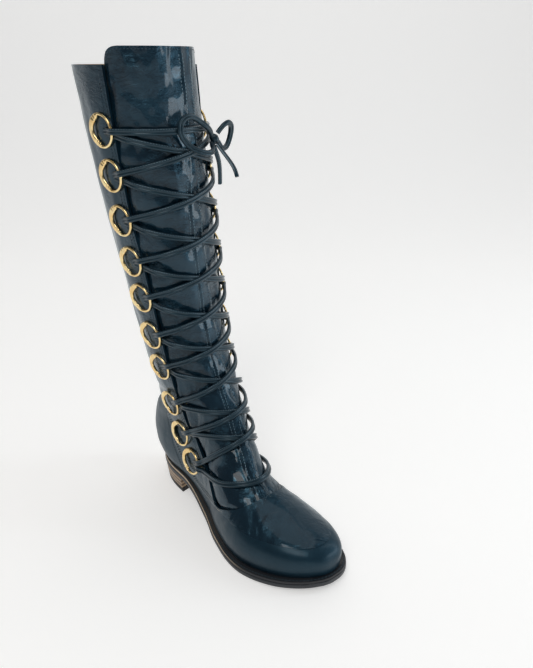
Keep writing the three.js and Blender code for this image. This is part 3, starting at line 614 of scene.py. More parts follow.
# Creases, listed one by one: side -1 outer, 1 inner; path of side-view places (y, z); depth; width
SIDE_CREASES = [
    (-1, [(60, 118), (86, 108), (112, 112)], 1.5, 5),
    (-1, [(64, 138), (92, 128), (118, 133)], 1.2, 6),
    (-1, [(72, 168), (98, 156), (121, 152)], 0.9, 7),
    (-1, [(96, 200), (112, 250), (116, 300)], 0.8, 8),
    (-1, [(104, 330), (112, 380), (118, 430)], 0.7, 8),
    (-1, [(30, 92), (52, 86), (74, 92)], 1.0, 5),
    (1, [(58, 116), (86, 106), (112, 112)], 1.5, 5),
    (1, [(62, 137), (92, 127), (118, 134)], 1.2, 6),
    (1, [(70, 170), (100, 158), (121, 150)], 0.9, 7),
    (1, [(92, 215), (108, 262), (112, 310)], 0.8, 8),
    (1, [(30, 90), (52, 84), (74, 90)], 1.0, 5),
    (-1, [(-30, 52), (-18, 40), (-8, 28)], 0.8, 3.4),
    (-1, [(-44, 50), (-32, 36), (-24, 26)], 0.6, 3.4),
    (1, [(-44, 54), (-26, 46), (-8, 36)], 1.8, 3.2),
    (1, [(-50, 51), (-34, 42), (-18, 30)], 1.5, 3.0),
    (1, [(-56, 49), (-42, 38), (-28, 26)], 0.9, 3.0),
]


def path_distance(path, q):
    path = np.array(path, float)
    best = np.full(len(q), np.inf)
    for a, b in zip(path, path[1:]):
        side = b - a
        h = np.clip(((q - a) @ side) / (side @ side), 0, 1)
        best = np.minimum(best, np.linalg.norm(q - a - h[:, None] * side, axis=1))
    return best


def crease_depth(rows):
    """How far creases move the surface: a soft trough with a low ridge on either side."""
    move = np.zeros(len(rows))
    for side, path, depth, width in SIDE_CREASES:
        near = path_distance(path, rows[:, 1:3]) / width
        face = smooth(4, 16, rows[:, 0] * side)
        move += face * depth * (0.55 * near ** 2 - 1) * np.exp(-near ** 2)
    return move


def leather_swell(rows, amount, scale, stretch=1.0, seed=0.0):
    """Slow unevenness of the leather, in millimetres."""
    places = rows[:, :3] / (scale, scale, scale * stretch) + (seed, 0, 0)
    return amount * np.array([noise.noise(Vector(p)) for p in places])


def upper_move(rows):
    """How far the upper's surface stands off its plain form: less on the foot than on the shaft."""
    swell = leather_swell(rows, 0.55, 34) + leather_swell(rows, 0.3, 13, 1.6, 5)
    return crease_depth(rows) + swell * (smooth(60, 110, rows[:, 2]) * 0.85 + 0.15)


def shell(name, rows, faces, offset, thick, material):
    """A wall of leather: the surface moved out by an offset, given its thickness inwards."""
    outer = lean(rows[:, :3] + rows[:, 3:6] * offset[:, None])
    inner = lean(rows[:, :3] + rows[:, 3:6] * (offset - thick)[:, None])
    count = len(rows)
    edges = {edge: True for face in faces for edge in zip(face, face[1:] + face[:1])}
    rim = [(j, i, i + count, j + count) for (i, j) in edges if (j, i) not in edges]
    back = [tuple(i + count for i in reversed(face)) for face in faces]
    points = to_frame(np.concatenate([outer, inner]))
    piece = new_object(name, points, [*faces, *back, *rim], material)
    piece.data.materials.append(lining)
    for polygon in piece.data.polygons[len(faces):len(faces) + len(back)]:
        polygon.material_index = 1
    return piece


# Materials
class Look:
    """A material, its shader, and short calls for the nodes that feed it."""

    def __init__(self, name, colour, roughness, metallic=0.0, coat=0.0, coat_roughness=0.1):
        self.material = bpy.data.materials.new(name)
        self.material.use_nodes = True
        self.nodes = self.material.node_tree.nodes
        self.links = self.material.node_tree.links
        self.shader = self.nodes["Principled BSDF"]
        self.set("Base Color", (*colour, 1))
        self.set("Roughness", roughness)
        self.set("Metallic", metallic)
        self.set("Coat Weight", coat)
        self.set("Coat Roughness", coat_roughness)
        self.coordinates = self.nodes.new("ShaderNodeTexCoord").outputs
        self.where = self.coordinates["Object"]

    def set(self, socket, value):
        self.shader.inputs[socket].default_value = value

    def feed(self, socket, output):
        self.links.new(output, self.shader.inputs[socket])

    def node(self, kind, values, linked, output):
        """A node with its values and links set, as the output that is named."""
        node = self.nodes.new("ShaderNode" + kind)
        for socket, value in values.items():
            node.inputs[socket].default_value = value
        for socket, source in linked.items():
            self.links.new(source, node.inputs[socket])
        return node.outputs[output]

    def stretched(self, scale):
        return self.node("Mapping", {"Scale": scale}, {"Vector": self.where}, "Vector")

    def noise(self, scale, detail=4.0, rough=0.55, distortion=0.0, where=None):
        values = {"Scale": scale, "Detail": detail, "Roughness": rough, "Distortion": distortion}
        return self.node("TexNoise", values, {"Vector": where or self.where}, "Fac")

    def span(self, fac, low, high, start=0.0, end=1.0):
        values = {"From Min": start, "From Max": end, "To Min": low, "To Max": high}
        return self.node("MapRange", values, {"Value": fac}, "Result")

    def part(self, vector, axis):
        return self.node("SeparateXYZ", {}, {"Vector": vector}, axis)

    def times(self, a, b):
        product = self.node("Math", {}, {0: a, 1: b}, "Value")
        product.node.operation = "MULTIPLY"
        return product

    def colours(self, fac, start, start_colour, end, end_colour):
        """Base colour that goes from one colour to another between two values."""
        blend = self.node("ValToRGB", {}, {"Fac": fac}, "Color")
        stops = blend.node.color_ramp.elements
        for stop, at, colour in ((stops[0], start, start_colour), (stops[1], end, end_colour)):
            stop.position = at
            stop.color = (*colour, 1)
        self.feed("Base Color", blend)

    def bump(self, *heights):
        """Stacks bumps: height, distance in metres and strength of each."""
        linked = {}
        for height, distance, strength in heights:
            values = {"Distance": distance, "Strength": strength}
            linked = {"Normal": self.node("Bump", values, {**linked, "Height": height}, "Normal")}
        self.feed("Normal", linked["Normal"])


def patent_leather(name, crinkle, gloss, roughness, coat):
    """Blue-black patent leather: soft folds, patches of fine wrinkles, pores, dulled places."""
    look = Look(name, (0.004, 0.014, 0.024), roughness, coat=coat, coat_roughness=gloss)
    look.set("Specular Tint", (0.30, 0.66, 0.90, 1))
    look.set("Coat Tint", (0.80, 0.93, 1.0, 1))
    patches = look.noise(14, 5, 0.6)
    look.colours(patches, 0.30, (0.0014, 0.007, 0.013), 0.72, (0.006, 0.021, 0.034))
    look.feed("Roughness", look.span(patches, roughness - 0.1, roughness + 0.1))
    folds = look.noise(30, 2, 0.45, 0.8, look.stretched((1.0, 1.0, 0.38)))
    wrinkles = look.noise(95, 5, 0.62, 1.2, look.stretched((0.7, 0.7, 1.4)))
    in_patches = look.times(wrinkles, look.span(look.noise(19, 2), -0.9, 1.9))
    pores = look.noise(1300, 2, 0.5)
    look.bump((folds, 0.007, 0.6 * crinkle), (in_patches, 0.0032, 0.6 * crinkle), (pores, 0.0002, 0.1))
    return look.material


def plain_leather(name, dark, light, roughness, grain=420, depth=0.0006, coat=0.0, tint=(1, 1, 1)):
    """Leather or board of two near shades, with a fine grain."""
    look = Look(name, dark, roughness, coat=coat)
    look.set("Specular Tint", (*tint, 1))
    look.colours(look.noise(40, 6, 0.6), 0.3, dark, 0.75, light)
    fine = look.noise(grain, 4, 0.6)
    look.feed("Roughness", look.span(fine, roughness - 0.08, roughness + 0.12))
    look.bump((fine, depth, 0.5))
    return look.material


def stacked_leather():
    """Natural heel layers: thin level lines over a fibrous cut edge."""
    look = Look("heel_layers", (0.4, 0.27, 0.16), 0.45)
    level = look.stretched((0.02, 0.02, 1.0))
    layers = look.node("TexWave", {"Scale": 62, "Distortion": 1.2}, {"Vector": level}, "Fac")
    layers.node.bands_direction = "Z"
    fibre = look.noise(160, 5, 0.6, where=look.stretched((1, 1, 6)))
    look.colours(look.times(layers, fibre), 0.05, (0.10, 0.06, 0.035), 0.55, (0.46, 0.32, 0.19))
    look.bump((layers, 0.0006, 0.4))
    return look.material


def welt_material():
    """Welt leather, dressed dark at the toe. Along waist and heel its side faces are tan, natural
    leather with a painted highlight where the edge catches the light, and its top faces are darker with
    painted shade in the crease under the upper.
    """
    look = Look("welt_leather", (0.05, 0.04, 0.03), 0.5)
    # Tan only from the waist back, with the dressed toe dark: natural leather edge and a painted
    # highlight, with some random tone
    place = look.span(look.part(look.where, "Y"), 0, 1, -0.09, -0.02)
    tan_and_highlight = look.times(place, look.span(look.noise(60, 5, 0.6), 0.4, 1.3))
    # Painted light by facing: side faces lighter as a painted highlight on the lit edge, top faces
    # darker as painted shade under the upper
    rim = look.span(look.part(look.coordinates["Normal"], "Z"), 1.0, 0.12, 0.35, 0.85)
    look.colours(look.times(tan_and_highlight, rim), 0.05, (0.008, 0.010, 0.014), 0.8, (0.50, 0.39, 0.27))
    look.bump((look.noise(420, 4, 0.6), 0.0006, 0.5))
    return look.material


def polished_gold():
    look = Look("gold", (0.86, 0.62, 0.30), 0.14, 1.0)
    smear = look.noise(90, 5, 0.6)
    look.colours(smear, 0.3, (0.80, 0.54, 0.22), 0.7, (1.0, 0.82, 0.46))
    look.feed("Roughness", look.span(smear, 0.06, 0.24))
    look.bump((look.noise(700, 3), 0.0002, 0.25))
    return look.material


def thread(name, colour):
    look = Look(name, colour, 0.55)
    look.bump((look.noise(1800, 2), 0.0003, 0.6))
    return look.material


upper_leather = patent_leather("upper_patent", 0.3, 0.22, 0.42, 0.16)
quarter_leather = patent_leather("quarter_patent", 1.0, 0.08, 0.24, 0.4)
panel_leather = patent_leather("panel_patent", 1.6, 0.06, 0.19, 0.5)
lace_leather = plain_leather("lace_leather", (0.003, 0.009, 0.014), (0.007, 0.019, 0.028), 0.3,
                             900, 0.0004, 0.35, (0.36, 0.70, 0.92))
sole_leather = plain_leather("sole_leather", (0.010, 0.014, 0.020), (0.030, 0.034, 0.040), 0.42)
welt_leather = welt_material()
lining = plain_leather("insole_board", (0.42, 0.31, 0.19), (0.62, 0.48, 0.32), 0.6)
rubber = plain_leather("top_lift_rubber", (0.012, 0.012, 0.013), (0.030, 0.030, 0.032), 0.7,
                       300, 0.0008)
heel_layers = stacked_leather()
gold = polished_gold()
dark_thread = thread("dark_thread", (0.02, 0.045, 0.06))
blue_thread = thread("blue_thread", (0.15, 0.23, 0.28))
pale_thread = thread("pale_thread", (0.42, 0.38, 0.32))


# Upper: vamp and counter as one wall, quarters as a second skin over it
def make_upper():
    rows, faces = clip(surface, surface_faces, SHAFT_TOP - surface[:, 2])
    rows, faces = clip(rows, faces, rows[:, 2] - welt_top(rows[:, 1]) - UPPER_CLEAR)
    rows, faces = clip(rows, faces, throat_field(rows))
    piece = shell("upper_wall", rows, faces, upper_move(rows), WALL, upper_leather)
    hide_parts("upper")
    rows, faces = clip(rows, faces, quarter_field(rows))
    skin = upper_move(rows) + OVERLAY_THICK
    shell("upper_quarters", rows, faces, skin, OVERLAY_THICK * 1.2, quarter_leather)


# Front panel with its raised band
BAND_STAND = 1.3
BAND_EDGE = 0.4
PANEL_SINK = WALL + GAP + 0.5
PANEL_FLOOR = 6
DENT_PITCH = SHAFT_TOP * 0.086
DENT_SKEW = 110
ANKLE_CALM = (60, 95)
FLUSH_RAMP = (0.2, 4.2)
band_step = curve(BAND_LINE, 1)


def band_middle(z):
    return band_step(z / SHAFT_TOP) * SHAFT_WIDTH


def band_lift(rows):
    """The raised strip down the panel's front, with soft edges."""
    away = np.abs(rows[:, 0] - band_middle(rows[:, 2]))
    front = rows[:, 1] < mix(front_at(rows[:, 2]), back_at(rows[:, 2]), 0.35)
    half = BAND_WIDTH / 2
    return BAND_STAND * (1 - smooth(half - BAND_EDGE, half + BAND_EDGE, away)) * front


def panel_crumple(rows):
    """Dents between the crossings and long soft folds down the panel, less on the foot."""
    z = rows[:, 2]
    dents = 0.75 * np.sin(2 * np.pi * (z / DENT_PITCH + rows[:, 0] / DENT_SKEW))
    soft = leather_swell(rows, 1.9, 24, 2.0, 3) + leather_swell(rows, 1.0, 9, 1.4, 9)
    shaft = smooth(*ANKLE_CALM, z)
    return (dents * smooth(405, 370, z) + soft * (0.25 + 0.75 * shaft)) * mix(0.5, 1, shaft)


def panel_offset(rows):
    """The panel's place under the wall, coming up almost flush inside the opening on the foot."""
    inside = smooth(*FLUSH_RAMP, -throat_field(rows))
    flush = inside * mix(2.2, 0.4, smooth(110, 190, rows[:, 2]))
    sunk = band_lift(rows) + panel_crumple(rows) - PANEL_SINK
    return np.minimum(sunk, BAND_THICK - WALL) + flush


def make_panel():
    rows, faces = clip(surface, surface_faces, panel_field(surface))
    rows, faces = clip(rows, faces, rows[:, 2] - welt_top(rows[:, 1]) - PANEL_FLOOR)
    piece = shell("panel_wall", rows, faces, panel_offset(rows), PANEL_WALL, panel_leather)
    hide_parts("front_panel")


# Seams: pitch, stitch length and thread thickness
SEAM = (2.9, 1.9, 0.55)
APRON_SEAM = (2.7, 1.8, 0.75)
BAND_SEAM = (2.9, 1.9, 0.6)
LACE_SEAM = (2.4, 1.2, 0.42)
WELT_SEAM = (3.4, 2.5, 0.8)
# One stitch: place along it as a share of its length, thickness as a share of the thread's
STITCH_PROFILE = [(-0.5, 0.35), (-0.3, 1.0), (0.3, 1.0), (0.5, 0.35)]
STITCH_SIDES = 6


def stitches(name, line, seam, material):
    """Short capsules along a line of places with their outward directions."""
    pitch, long, thick = seam
    places = lean(np.array([p for p, n in line]))
    normals = np.array([n for p, n in line])
    far = lengths_along(places)
    points, faces = [], []
    for k in range(int(far[-1] / pitch)):
        s = (k + 0.5) * pitch
        at = np.array([np.interp(s, far, places[:, c]) for c in range(3)])
        ahead = np.array([np.interp(s + 0.8, far, places[:, c]) for c in range(3)]) - at
        if np.linalg.norm(ahead) < 1e-6:
            continue
        ahead /= np.linalg.norm(ahead)
        out = np.array([np.interp(s, far, normals[:, c]) for c in range(3)])
        out -= ahead * (out @ ahead)
        out /= np.linalg.norm(out)
        across = np.cross(out, ahead)
        start = len(points)
        for along, size in STITCH_PROFILE:
            for i in range(STITCH_SIDES):
                a = 2 * math.pi * i / STITCH_SIDES
                ray = across * math.cos(a) + out * math.sin(a)
                points.append(at + ahead * along * long + ray * size * thick / 2)
        for face in tube_faces(len(STITCH_PROFILE), STITCH_SIDES):
            faces.append(tuple(start + i for i in face))
    return new_object(name, to_frame(points), faces, material, 80)


def laid_on(places, lift, move):
    """Moves a line of places and directions out with the leather that it lies on."""
    moved = move(np.array([at for at, out in places]))
    return [(at + out * (lift + more), out) for (at, out), more in zip(places, moved)]


def side_seam(rows, shift, skew, side, lift, low=0.0, high=SHAFT_TOP - 4):
    """A seam on one side, along a table's line moved sideways, between two heights."""
    places = [leather_at(y, z, side) for y, z in side_line(rows, shift, skew, 3) if low < z < high]
    return laid_on(places, lift, upper_move)


def band_seam(step, low, high, lift, steps=90):
    """A seam up the panel's front, a step to the side of the band's middle."""
    places = []
    for z in np.linspace(low, high, steps):
        rise = spot_on(float(front_at(z)), z, -1)[0]
        x = float(band_middle(z)) + step
        sides = trace_lengths(rise)
        sign = -1 if x < sides[0][0][0, 0] else 1
        side, far = sides[0 if sign < 0 else 1]
        reach = float(np.interp(abs(x), np.abs(side[:, 0]), far))
        places.append(frame_at(rise, sign * reach)[:2])
    return laid_on(places, lift, panel_offset)


def panel_top_seam(inset=2.4):
    """Round the panel's rounded top, from one side to the other."""
    top, corner = SHAFT_TOP + PANEL_STAND - inset, PANEL_STAND - inset
    halves = []
    for side, skew in ((-1, 0), (1, THROAT_SKEW)):
        edge_y = COLLAR_EDGE * FOOT_LENGTH - skew - inset
        flat = [(y, top) for y in np.linspace(float(front_at(top)) + 0.5, edge_y - corner, 14)]
        turn = [(edge_y - corner * (1 - math.sin(a)), top - corner * (1 - math.cos(a)))
                for a in np.linspace(0.2, math.pi / 2, 7)]
        places = [leather_at(y, z, side) for y, z in flat + turn]
        halves.append(laid_on(places, 0.1, panel_offset))
    return halves[0][::-1] + halves[1]


def make_stitches():
    on_quarter = OVERLAY_THICK + 0.15
    for side, tag, skew in ((-1, "outer", 0), (1, "inner", THROAT_SKEW)):
        for k, shift in enumerate((2.6, 6.0)):
            line = side_seam(THROAT_EDGE, shift, skew, side, on_quarter, 55)
            stitches(f"stitch_throat_{tag}_{k + 1}", line, SEAM, dark_thread)
        for k, shift in enumerate((2.2, 5.0)):
            line = side_seam(QUARTER_EDGE[1:], -shift, 0, side, on_quarter)
            stitches(f"stitch_quarter_{tag}_{k + 1}", line, SEAM, dark_thread)
        line = side_seam(COUNTER_EDGE, 0, 0, side, 0.2)
        stitches(f"stitch_counter_{tag}", line, SEAM, dark_thread)
    apron = [row for row in THROAT_EDGE if row[1] < 0.2]
    for side, tag in ((-1, "outer"), (1, "inner")):
        line = side_seam(apron, 2.0, 0, side, 0.35, 0, 64)
        stitches(f"stitch_apron_{tag}", line, APRON_SEAM, pale_thread)
    stitches("stitch_panel_top", panel_top_seam(), SEAM, dark_thread)
    half = BAND_WIDTH / 2
    for k, step in enumerate((1.5 - half, half - 1.5, -half - 1.6, half + 1.6)):
        line = band_seam(step, 66, SHAFT_TOP + 10, 0.1)
        stitches(f"stitch_band_{k + 1}", line, BAND_SEAM, blue_thread)


# Rings: turns in degrees from the front of the ring
STAND_OFF_TURNS = (0, 34, 68, 100, 104, 142, 180, 218, 256, 260, 292, 326)
CLAMP_STARTS, CLAMP_ENDS = (98, 103), (257, 262)
CLAMP_GROOVES = (116, 128, 232, 244)
RING_SECTION, RING_STATIONS = 14, 96


def ring_stand_off(frame_, side):
    """How far a ring's middle stands off so that its wire clears the quarter all round."""
    at, out, across, up = frame_
    least = OVERLAY_THICK + GAP + WIRE_THICK / 2
    off = least
    for turn in STAND_OFF_TURNS:
        a = math.radians(turn)
        point = at + up * math.sin(a) * RING_RADIUS - across * side * math.cos(a) * RING_RADIUS
        rise, round_, _ = spot_on(point[1], point[2], side)
        off = max(off, (place_on(rise, round_) - point) @ out + least)
    return off


def make_ring(name, frame_, side, off):
    """A wire loop whose rear runs through a flat clamp with a stepped inner edge."""
    at, out, across, up = frame_
    forward = -across * side
    points = []
    for k in range(RING_STATIONS):
        turn = 2 * math.pi * k / RING_STATIONS
        degrees = math.degrees(turn)
        ray = forward * math.cos(turn) + up * math.sin(turn)
        share = float(smooth(*CLAMP_STARTS, degrees) * (1 - smooth(*CLAMP_ENDS, degrees)))
        waist = 1 - 0.16 * share * math.cos(math.radians((degrees - 180) * 2.2)) ** 2
        half = mix(WIRE_THICK, CLAMP_WIDE * waist, share) / 2
        grooves = sum(math.exp(-((degrees - at_turn) / 3.0) ** 2) for at_turn in CLAMP_GROOVES)
        high = mix(WIRE_THICK, CLAMP_THICK * (1 - 0.22 * grooves), share) / 2
        middle = RING_RADIUS + WIRE_THICK / 2 - half
        flat = mix(1.0, 0.62, share)
        for i in range(RING_SECTION):
            a = 2 * math.pi * i / RING_SECTION
            c, s = [math.copysign(abs(v) ** flat, v) for v in (math.cos(a), math.sin(a))]
            lift = off + high - WIRE_THICK / 2 + high * s
            points.append(at + out * lift + ray * (middle + half * c))
    faces = tube_faces(RING_STATIONS, RING_SECTION, True)
    piece = new_object(name, to_frame(lean(points)), faces, gold, 60)
    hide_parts(name.replace("gold_", ""))


# For each side: the rings' spots, frames and stand-offs
rings = {-1: [], 1: []}
for ring_side in (-1, 1):
    for place, height in RING_SPOTS:
        z = height * SHAFT_TOP
        skew = THROAT_SKEW * float(smooth(*BLEND, z)) if ring_side > 0 else 0
        spot = spot_on(place * FOOT_LENGTH - skew, z, ring_side)
        ring_frame = frame_at(spot[0], spot[1])
        rings[ring_side].append((spot, ring_frame, ring_stand_off(ring_frame, ring_side)))


def make_rings():
    for side, tag in ((-1, "outer"), (1, "inner")):
        for k, (spot, frame_, off) in enumerate(rings[side]):
            make_ring(f"gold_ring_{tag}_{k + 1:02d}", frame_, side, off)


# Laces: a folded and stitched strip; across and up as shares of its width and thickness
LACE_SECTION = [
    (-0.50, 0.18), (-0.47, 0.62), (-0.36, 0.94), (-0.20, 1.00), (-0.07, 0.93), (-0.02, 0.80),
    (0.04, 0.80), (0.12, 0.95), (0.28, 1.00), (0.42, 0.88), (0.50, 0.50), (0.48, 0.15),
    (0.38, 0.0), (0.0, 0.04), (-0.38, 0.0),
]
END_LIFT = OVERLAY_THICK + LACE_CLEAR
MIDDLE_LIFT = BAND_THICK + LACE_CLEAR - (WALL + GAP)
SETTLED_ROWS = 7
SINGLE_NODES = 6
CROSSING_PILE = LACE_THICK - 0.9
STRAND_TAUTNESS, BAR_TAUTNESS = 0.8, 0.35
HUMP = (0.26, 0.5)
BOW_STEPS = range(0, 48, 4)
# Along a strand, in ring radii from the ring's middle: its end, the stretch over the wire, the rest
STRAND_END, NEAR_RING, PAST_RING = 0.30, 1.6, 1.9


def sweep_lace(points, outs, thin):
    """Rows of section points along a line of underside places."""
    points = np.array(points)
    ahead = np.gradient(points, axis=0)
    ahead /= np.linalg.norm(ahead, axis=1, keepdims=True)
    rows = []
    for at, out, go, squeeze in zip(points, outs, ahead, thin):
        out = out - go * (out @ go)
        out /= np.linalg.norm(out)
        across = np.cross(out, go)
        for u, v in LACE_SECTION:
            rows.append(at + across * u * LACE_WIDE + out * v * LACE_THICK * squeeze)
    return rows, tube_faces(len(points), len(LACE_SECTION))


def spot_between(start, end, share, bow):
    """A place between two rings: round the front at a rise that bows upwards."""
    rise = mix(start[0], end[0], share) + bow * 4 * share * (1 - share)
    near = start if share < 0.5 else end
    return rise, round_to(rise, near[2], -1 if near[1] < 0 else 1) * abs(2 * share - 1)


def strand_length(start, end, bow):
    places = [place_on(*spot_between(start, end, k / 10, bow)) for k in range(11)]
    return sum(np.linalg.norm(b - a) for a, b in zip(places, places[1:]))


def lace_strand(name, outer, inner, over_ring, middle, pile, tautness, replaced):
    """One stretch of lace from ring to ring: into each ring's hole, over or under its wire."""
    start, end = rings[-1][outer][0], rings[1][inner][0]
    bow = min(BOW_STEPS, key=lambda step: strand_length(start, end, step)) * tautness
    reach = RING_RADIUS / strand_length(start, end, bow)
    near_end = np.linspace(STRAND_END * reach, NEAR_RING * reach, 9)
    rest = np.linspace(PAST_RING * reach, 1 - PAST_RING * reach, 22)
    centres, outs, thin = [], [], []
    for share in np.concatenate([near_end, rest, 1 - near_end[::-1]]):
        at, out, _, _ = frame_at(*spot_between(start, end, share, bow))
        near = min(share, 1 - share)
        ring_off = rings[-1][outer][2] if share < 0.5 else rings[1][inner][2]
        free = mix(END_LIFT, middle + pile, float(smooth(*HUMP, near)))
        if over_ring:
            at_wire = float(np.exp(-((near / reach - 1.0) / 0.28) ** 2))
            hole = float(1 - smooth(0.35, 0.85, near / reach))
            lift = free + at_wire * (ring_off + WIRE_THICK / 2 + 0.1 - free)
            lift = mix(lift, OVERLAY_THICK + 0.2, hole)
            squeeze = 1.0
        else:
            lift = mix(OVERLAY_THICK + 0.15, free, float(smooth(1.15, 1.9, near / reach)))
            squeeze = mix(0.45, 1.0, float(smooth(1.1, 1.7, near / reach)))
        centres.append(at + out * lift)
        outs.append(out)
        thin.append(squeeze)
    rows, faces = sweep_lace(centres, outs, thin)
    piece = new_object(name, to_frame(lean(rows)), faces, lace_leather, 50)
    if replaced:
        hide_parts(replaced)
    line = []
    for k, (at, out) in enumerate(zip(centres, outs)):
        ahead = centres[min(k + 1, len(centres) - 1)] - centres[max(k - 1, 0)]
        across = np.cross(out, ahead / np.linalg.norm(ahead))
        line.append((at + out * LACE_THICK * thin[k] + across * LACE_WIDE * 0.36, out))
    stitches(f"{name}_stitch", line[3:-3], LACE_SEAM, blue_thread)


def make_laces():
    last = len(RING_SPOTS) - 1
    for i in range(last):
        middle = MIDDLE_LIFT if i < SETTLED_ROWS else END_LIFT
        tag = f"{i + 1:02d}"
        node = f"lace_crossing_{tag}" if i < SINGLE_NODES else None
        if i == SINGLE_NODES:
            node = "lace_crossing_low"
        lace_strand(f"lace_over_{tag}", i + 1, i, True, middle, CROSSING_PILE, STRAND_TAUTNESS, node)
        lace_strand(f"lace_under_{tag}", i, i + 1, False, middle, 0, STRAND_TAUTNESS, None)
    lace_strand("lace_bottom_bar", last, last, True, END_LIFT, 0, BAR_TAUTNESS, "lace_bar")
    lace_strand("lace_top", 0, 0, True, END_LIFT, 0, 1, None)


# Bow: the knot's place on the inner side, and its two turns as middle, tilt, radius, half height
KNOT_WIDE, KNOT_ROUND, KNOT_DROP = 8.8, 27, 10
KNOT_STAND = END_LIFT + LACE_THICK + GAP + KNOT_WIDE / 2
KNOT_TURNS = [((0, 0, 1.2), 0.35, 5.0, 2.7), ((0.6, -0.4, -1.4), -0.55, 4.8, 2.7)]
KNOT_STATIONS, KNOT_SECTION = 30, 12
knot_at, knot_out, _, _ = frame_at(rings[1][0][0][0] - KNOT_DROP, KNOT_ROUND)
KNOT_MIDDLE = lean(knot_at + knot_out * KNOT_STAND)


def make_cord(name, route):
    """A free length of lace from the knot: a loop that ends in the knot, or a blunt end."""
    path = spline(KNOT_MIDDLE + np.array(route) * BOW_REACH, 5)
    ahead = np.gradient(path, axis=0)
    ahead /= np.linalg.norm(ahead, axis=1, keepdims=True)
    wide, thick = BOW_CORD * BOW_FLAT[0], BOW_CORD * BOW_FLAT[1]
    out = lean(knot_at + knot_out) - lean(knot_at)
    rows = []
    for at, go in zip(path, ahead):
        out = out - go * (out @ go)
        out = out / np.linalg.norm(out)
        across = np.cross(out, go)
        rows += [at + across * u * wide + out * (v - 0.5) * thick for u, v in LACE_SECTION]
    faces = tube_faces(len(path), len(LACE_SECTION))
    piece = new_object("bow_" + name, to_frame(rows), faces, lace_leather, 50)
    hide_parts(name)


def make_knot():
    """Two turns of the lace pulled tight over each other."""
    rows, faces = [], []
    for middle, tilt, radius, half in KNOT_TURNS:
        start = len(rows)
        for k in range(KNOT_STATIONS):
            a = 2 * math.pi * k / KNOT_STATIONS
            ray = np.array([math.cos(a), math.sin(a), 0.0])
            rise = np.array([0, 0, math.sin(a) * tilt * radius * 0.5])
            centre = KNOT_MIDDLE + middle + ray * radius * 0.52 + rise
            for i in range(KNOT_SECTION):
                b = 2 * math.pi * i / KNOT_SECTION
                rows.append(centre + ray * math.cos(b) * 1.6 + np.array([0, 0, math.sin(b) * half]))
        for face in tube_faces(KNOT_STATIONS, KNOT_SECTION, True):
            faces.append(tuple(start + i for i in face))
    piece = new_object("bow_knot", to_frame(rows), faces, lace_leather, 60)
    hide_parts("lace_knot")
    return piece


# Sole pieces as smooth slabs
SLAB_STATIONS = 110
OUTSOLE_ROUND, WELT_ROUND, HEEL_ROUND, LIFT_ROUND = 0.9, 0.5, 0.4, 0.5
HEEL_SIDE_STEPS, BREAST_STEPS = 40, 12


def slab(name, bottom, top, proud, edge, material):
    """A sole piece between two heights, proud of the foot at toe and heel, with rounded edges."""
    out_toe, out_heel = proud
    turn = (1 - np.cos(np.pi * np.arange(SLAB_STATIONS + 1) / SLAB_STATIONS)) / 2
    ys = mix(HEEL_Y + out_heel, TOE_Y - out_toe, mix(0.0008, 0.9992, turn))
    left, right = outline(ys, out_toe, out_heel)
    rows = []
    for y, lo, hi, x0, x1 in zip(ys, bottom(ys), top(ys), left, right):
        half = [(edge, lo), (edge * 0.3, lo + edge * 0.3), (0, lo + edge), (0, (lo + hi) / 2),
                (0, hi - edge), (edge * 0.3, hi - edge * 0.3), (edge, hi)]
        most = (x1 - x0) / 2
        rows += [(x0 + min(inset, most), y, z) for inset, z in half]
        rows += [(x1 - min(inset, most), y, z) for inset, z in reversed(half)]
    faces = [face[::-1] for face in tube_faces(SLAB_STATIONS + 1, 14)]
    return new_object(name, to_frame(rows), faces, material, 35)


def make_sole():
    proud = (WELT_PROUD_TOE + OUTSOLE_PROUD, WELT_PROUD_HEEL + OUTSOLE_PROUD)
    outsole = slab("outsole_smooth", sole_line, outsole_top, proud, OUTSOLE_ROUND,
                   sole_leather)
    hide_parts("outsole")
    welt = slab("welt_smooth", lambda y: outsole_top(y) + GAP * 0.4, welt_top,
                (WELT_PROUD_TOE, WELT_PROUD_HEEL), WELT_ROUND, welt_leather)
    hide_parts("welt")
    ys = np.linspace(96, TOE_Y - 2, 90)
    up = np.array([0, 0, 1.0])
    left, right = [[(np.array([x, y, float(welt_top(y)) + 0.1]), up) for x, y in zip(xs, ys)]
                   for xs in outline(ys, WELT_PROUD_TOE - 1.9, WELT_PROUD_HEEL - 0.6)]
    stitches("stitch_welt", left + right[::-1], WELT_SEAM, dark_thread)


def heel_block(name, low, high, bevel, material, node):
    """A heel piece that narrows downwards, with a hollow front and small bevels."""
    rows = []
    for z, inset in ((low, bevel), (low + bevel, 0), (high - bevel, 0), (high, bevel)):
        out = WELT_PROUD_HEEL - HEEL_TAPER * (1 - z / HEEL_RAISE) - inset
        breast = HEEL_Y + WELT_PROUD_HEEL - HEEL_LENGTH + inset
        turn = np.sin(np.pi / 2 * np.arange(HEEL_SIDE_STEPS + 1) / HEEL_SIDE_STEPS)
        ys = mix(breast, HEEL_Y + out, turn * 0.9995)
        left, right = outline(ys, out, out)
        rows += [(x, y, z) for x, y in zip([*left, *right[::-1]], [*ys, *ys[::-1]])]
        for i in range(1, BREAST_STEPS):
            across = i / BREAST_STEPS
            hollow = BREAST_HOLLOW * math.sin(math.pi * across)
            rows.append((mix(right[0], left[0], across), breast + hollow, z))
    piece = new_object(name, to_frame(rows), tube_faces(4, len(rows) // 4), material, 35)
    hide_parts(node)


def make_heel():
    heel_block("heel_smooth", TOP_LIFT_THICK + GAP * 0.3, HEEL_RAISE - GAP * 0.3, HEEL_ROUND,
               heel_layers, "heel")
    heel_block("top_lift_smooth", 0, TOP_LIFT_THICK, LIFT_ROUND, rubber, "top_lift")


knot = make_knot()
for cord_name, cord_route in BOW_ROUTES.items():
    make_cord(cord_name, cord_route)
make_upper()
make_panel()
make_stitches()
make_rings()
make_laces()
make_sole()
make_heel()
insole_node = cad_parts["insole"]
insole_node.data.materials.clear()
insole_node.data.materials.append(lining)


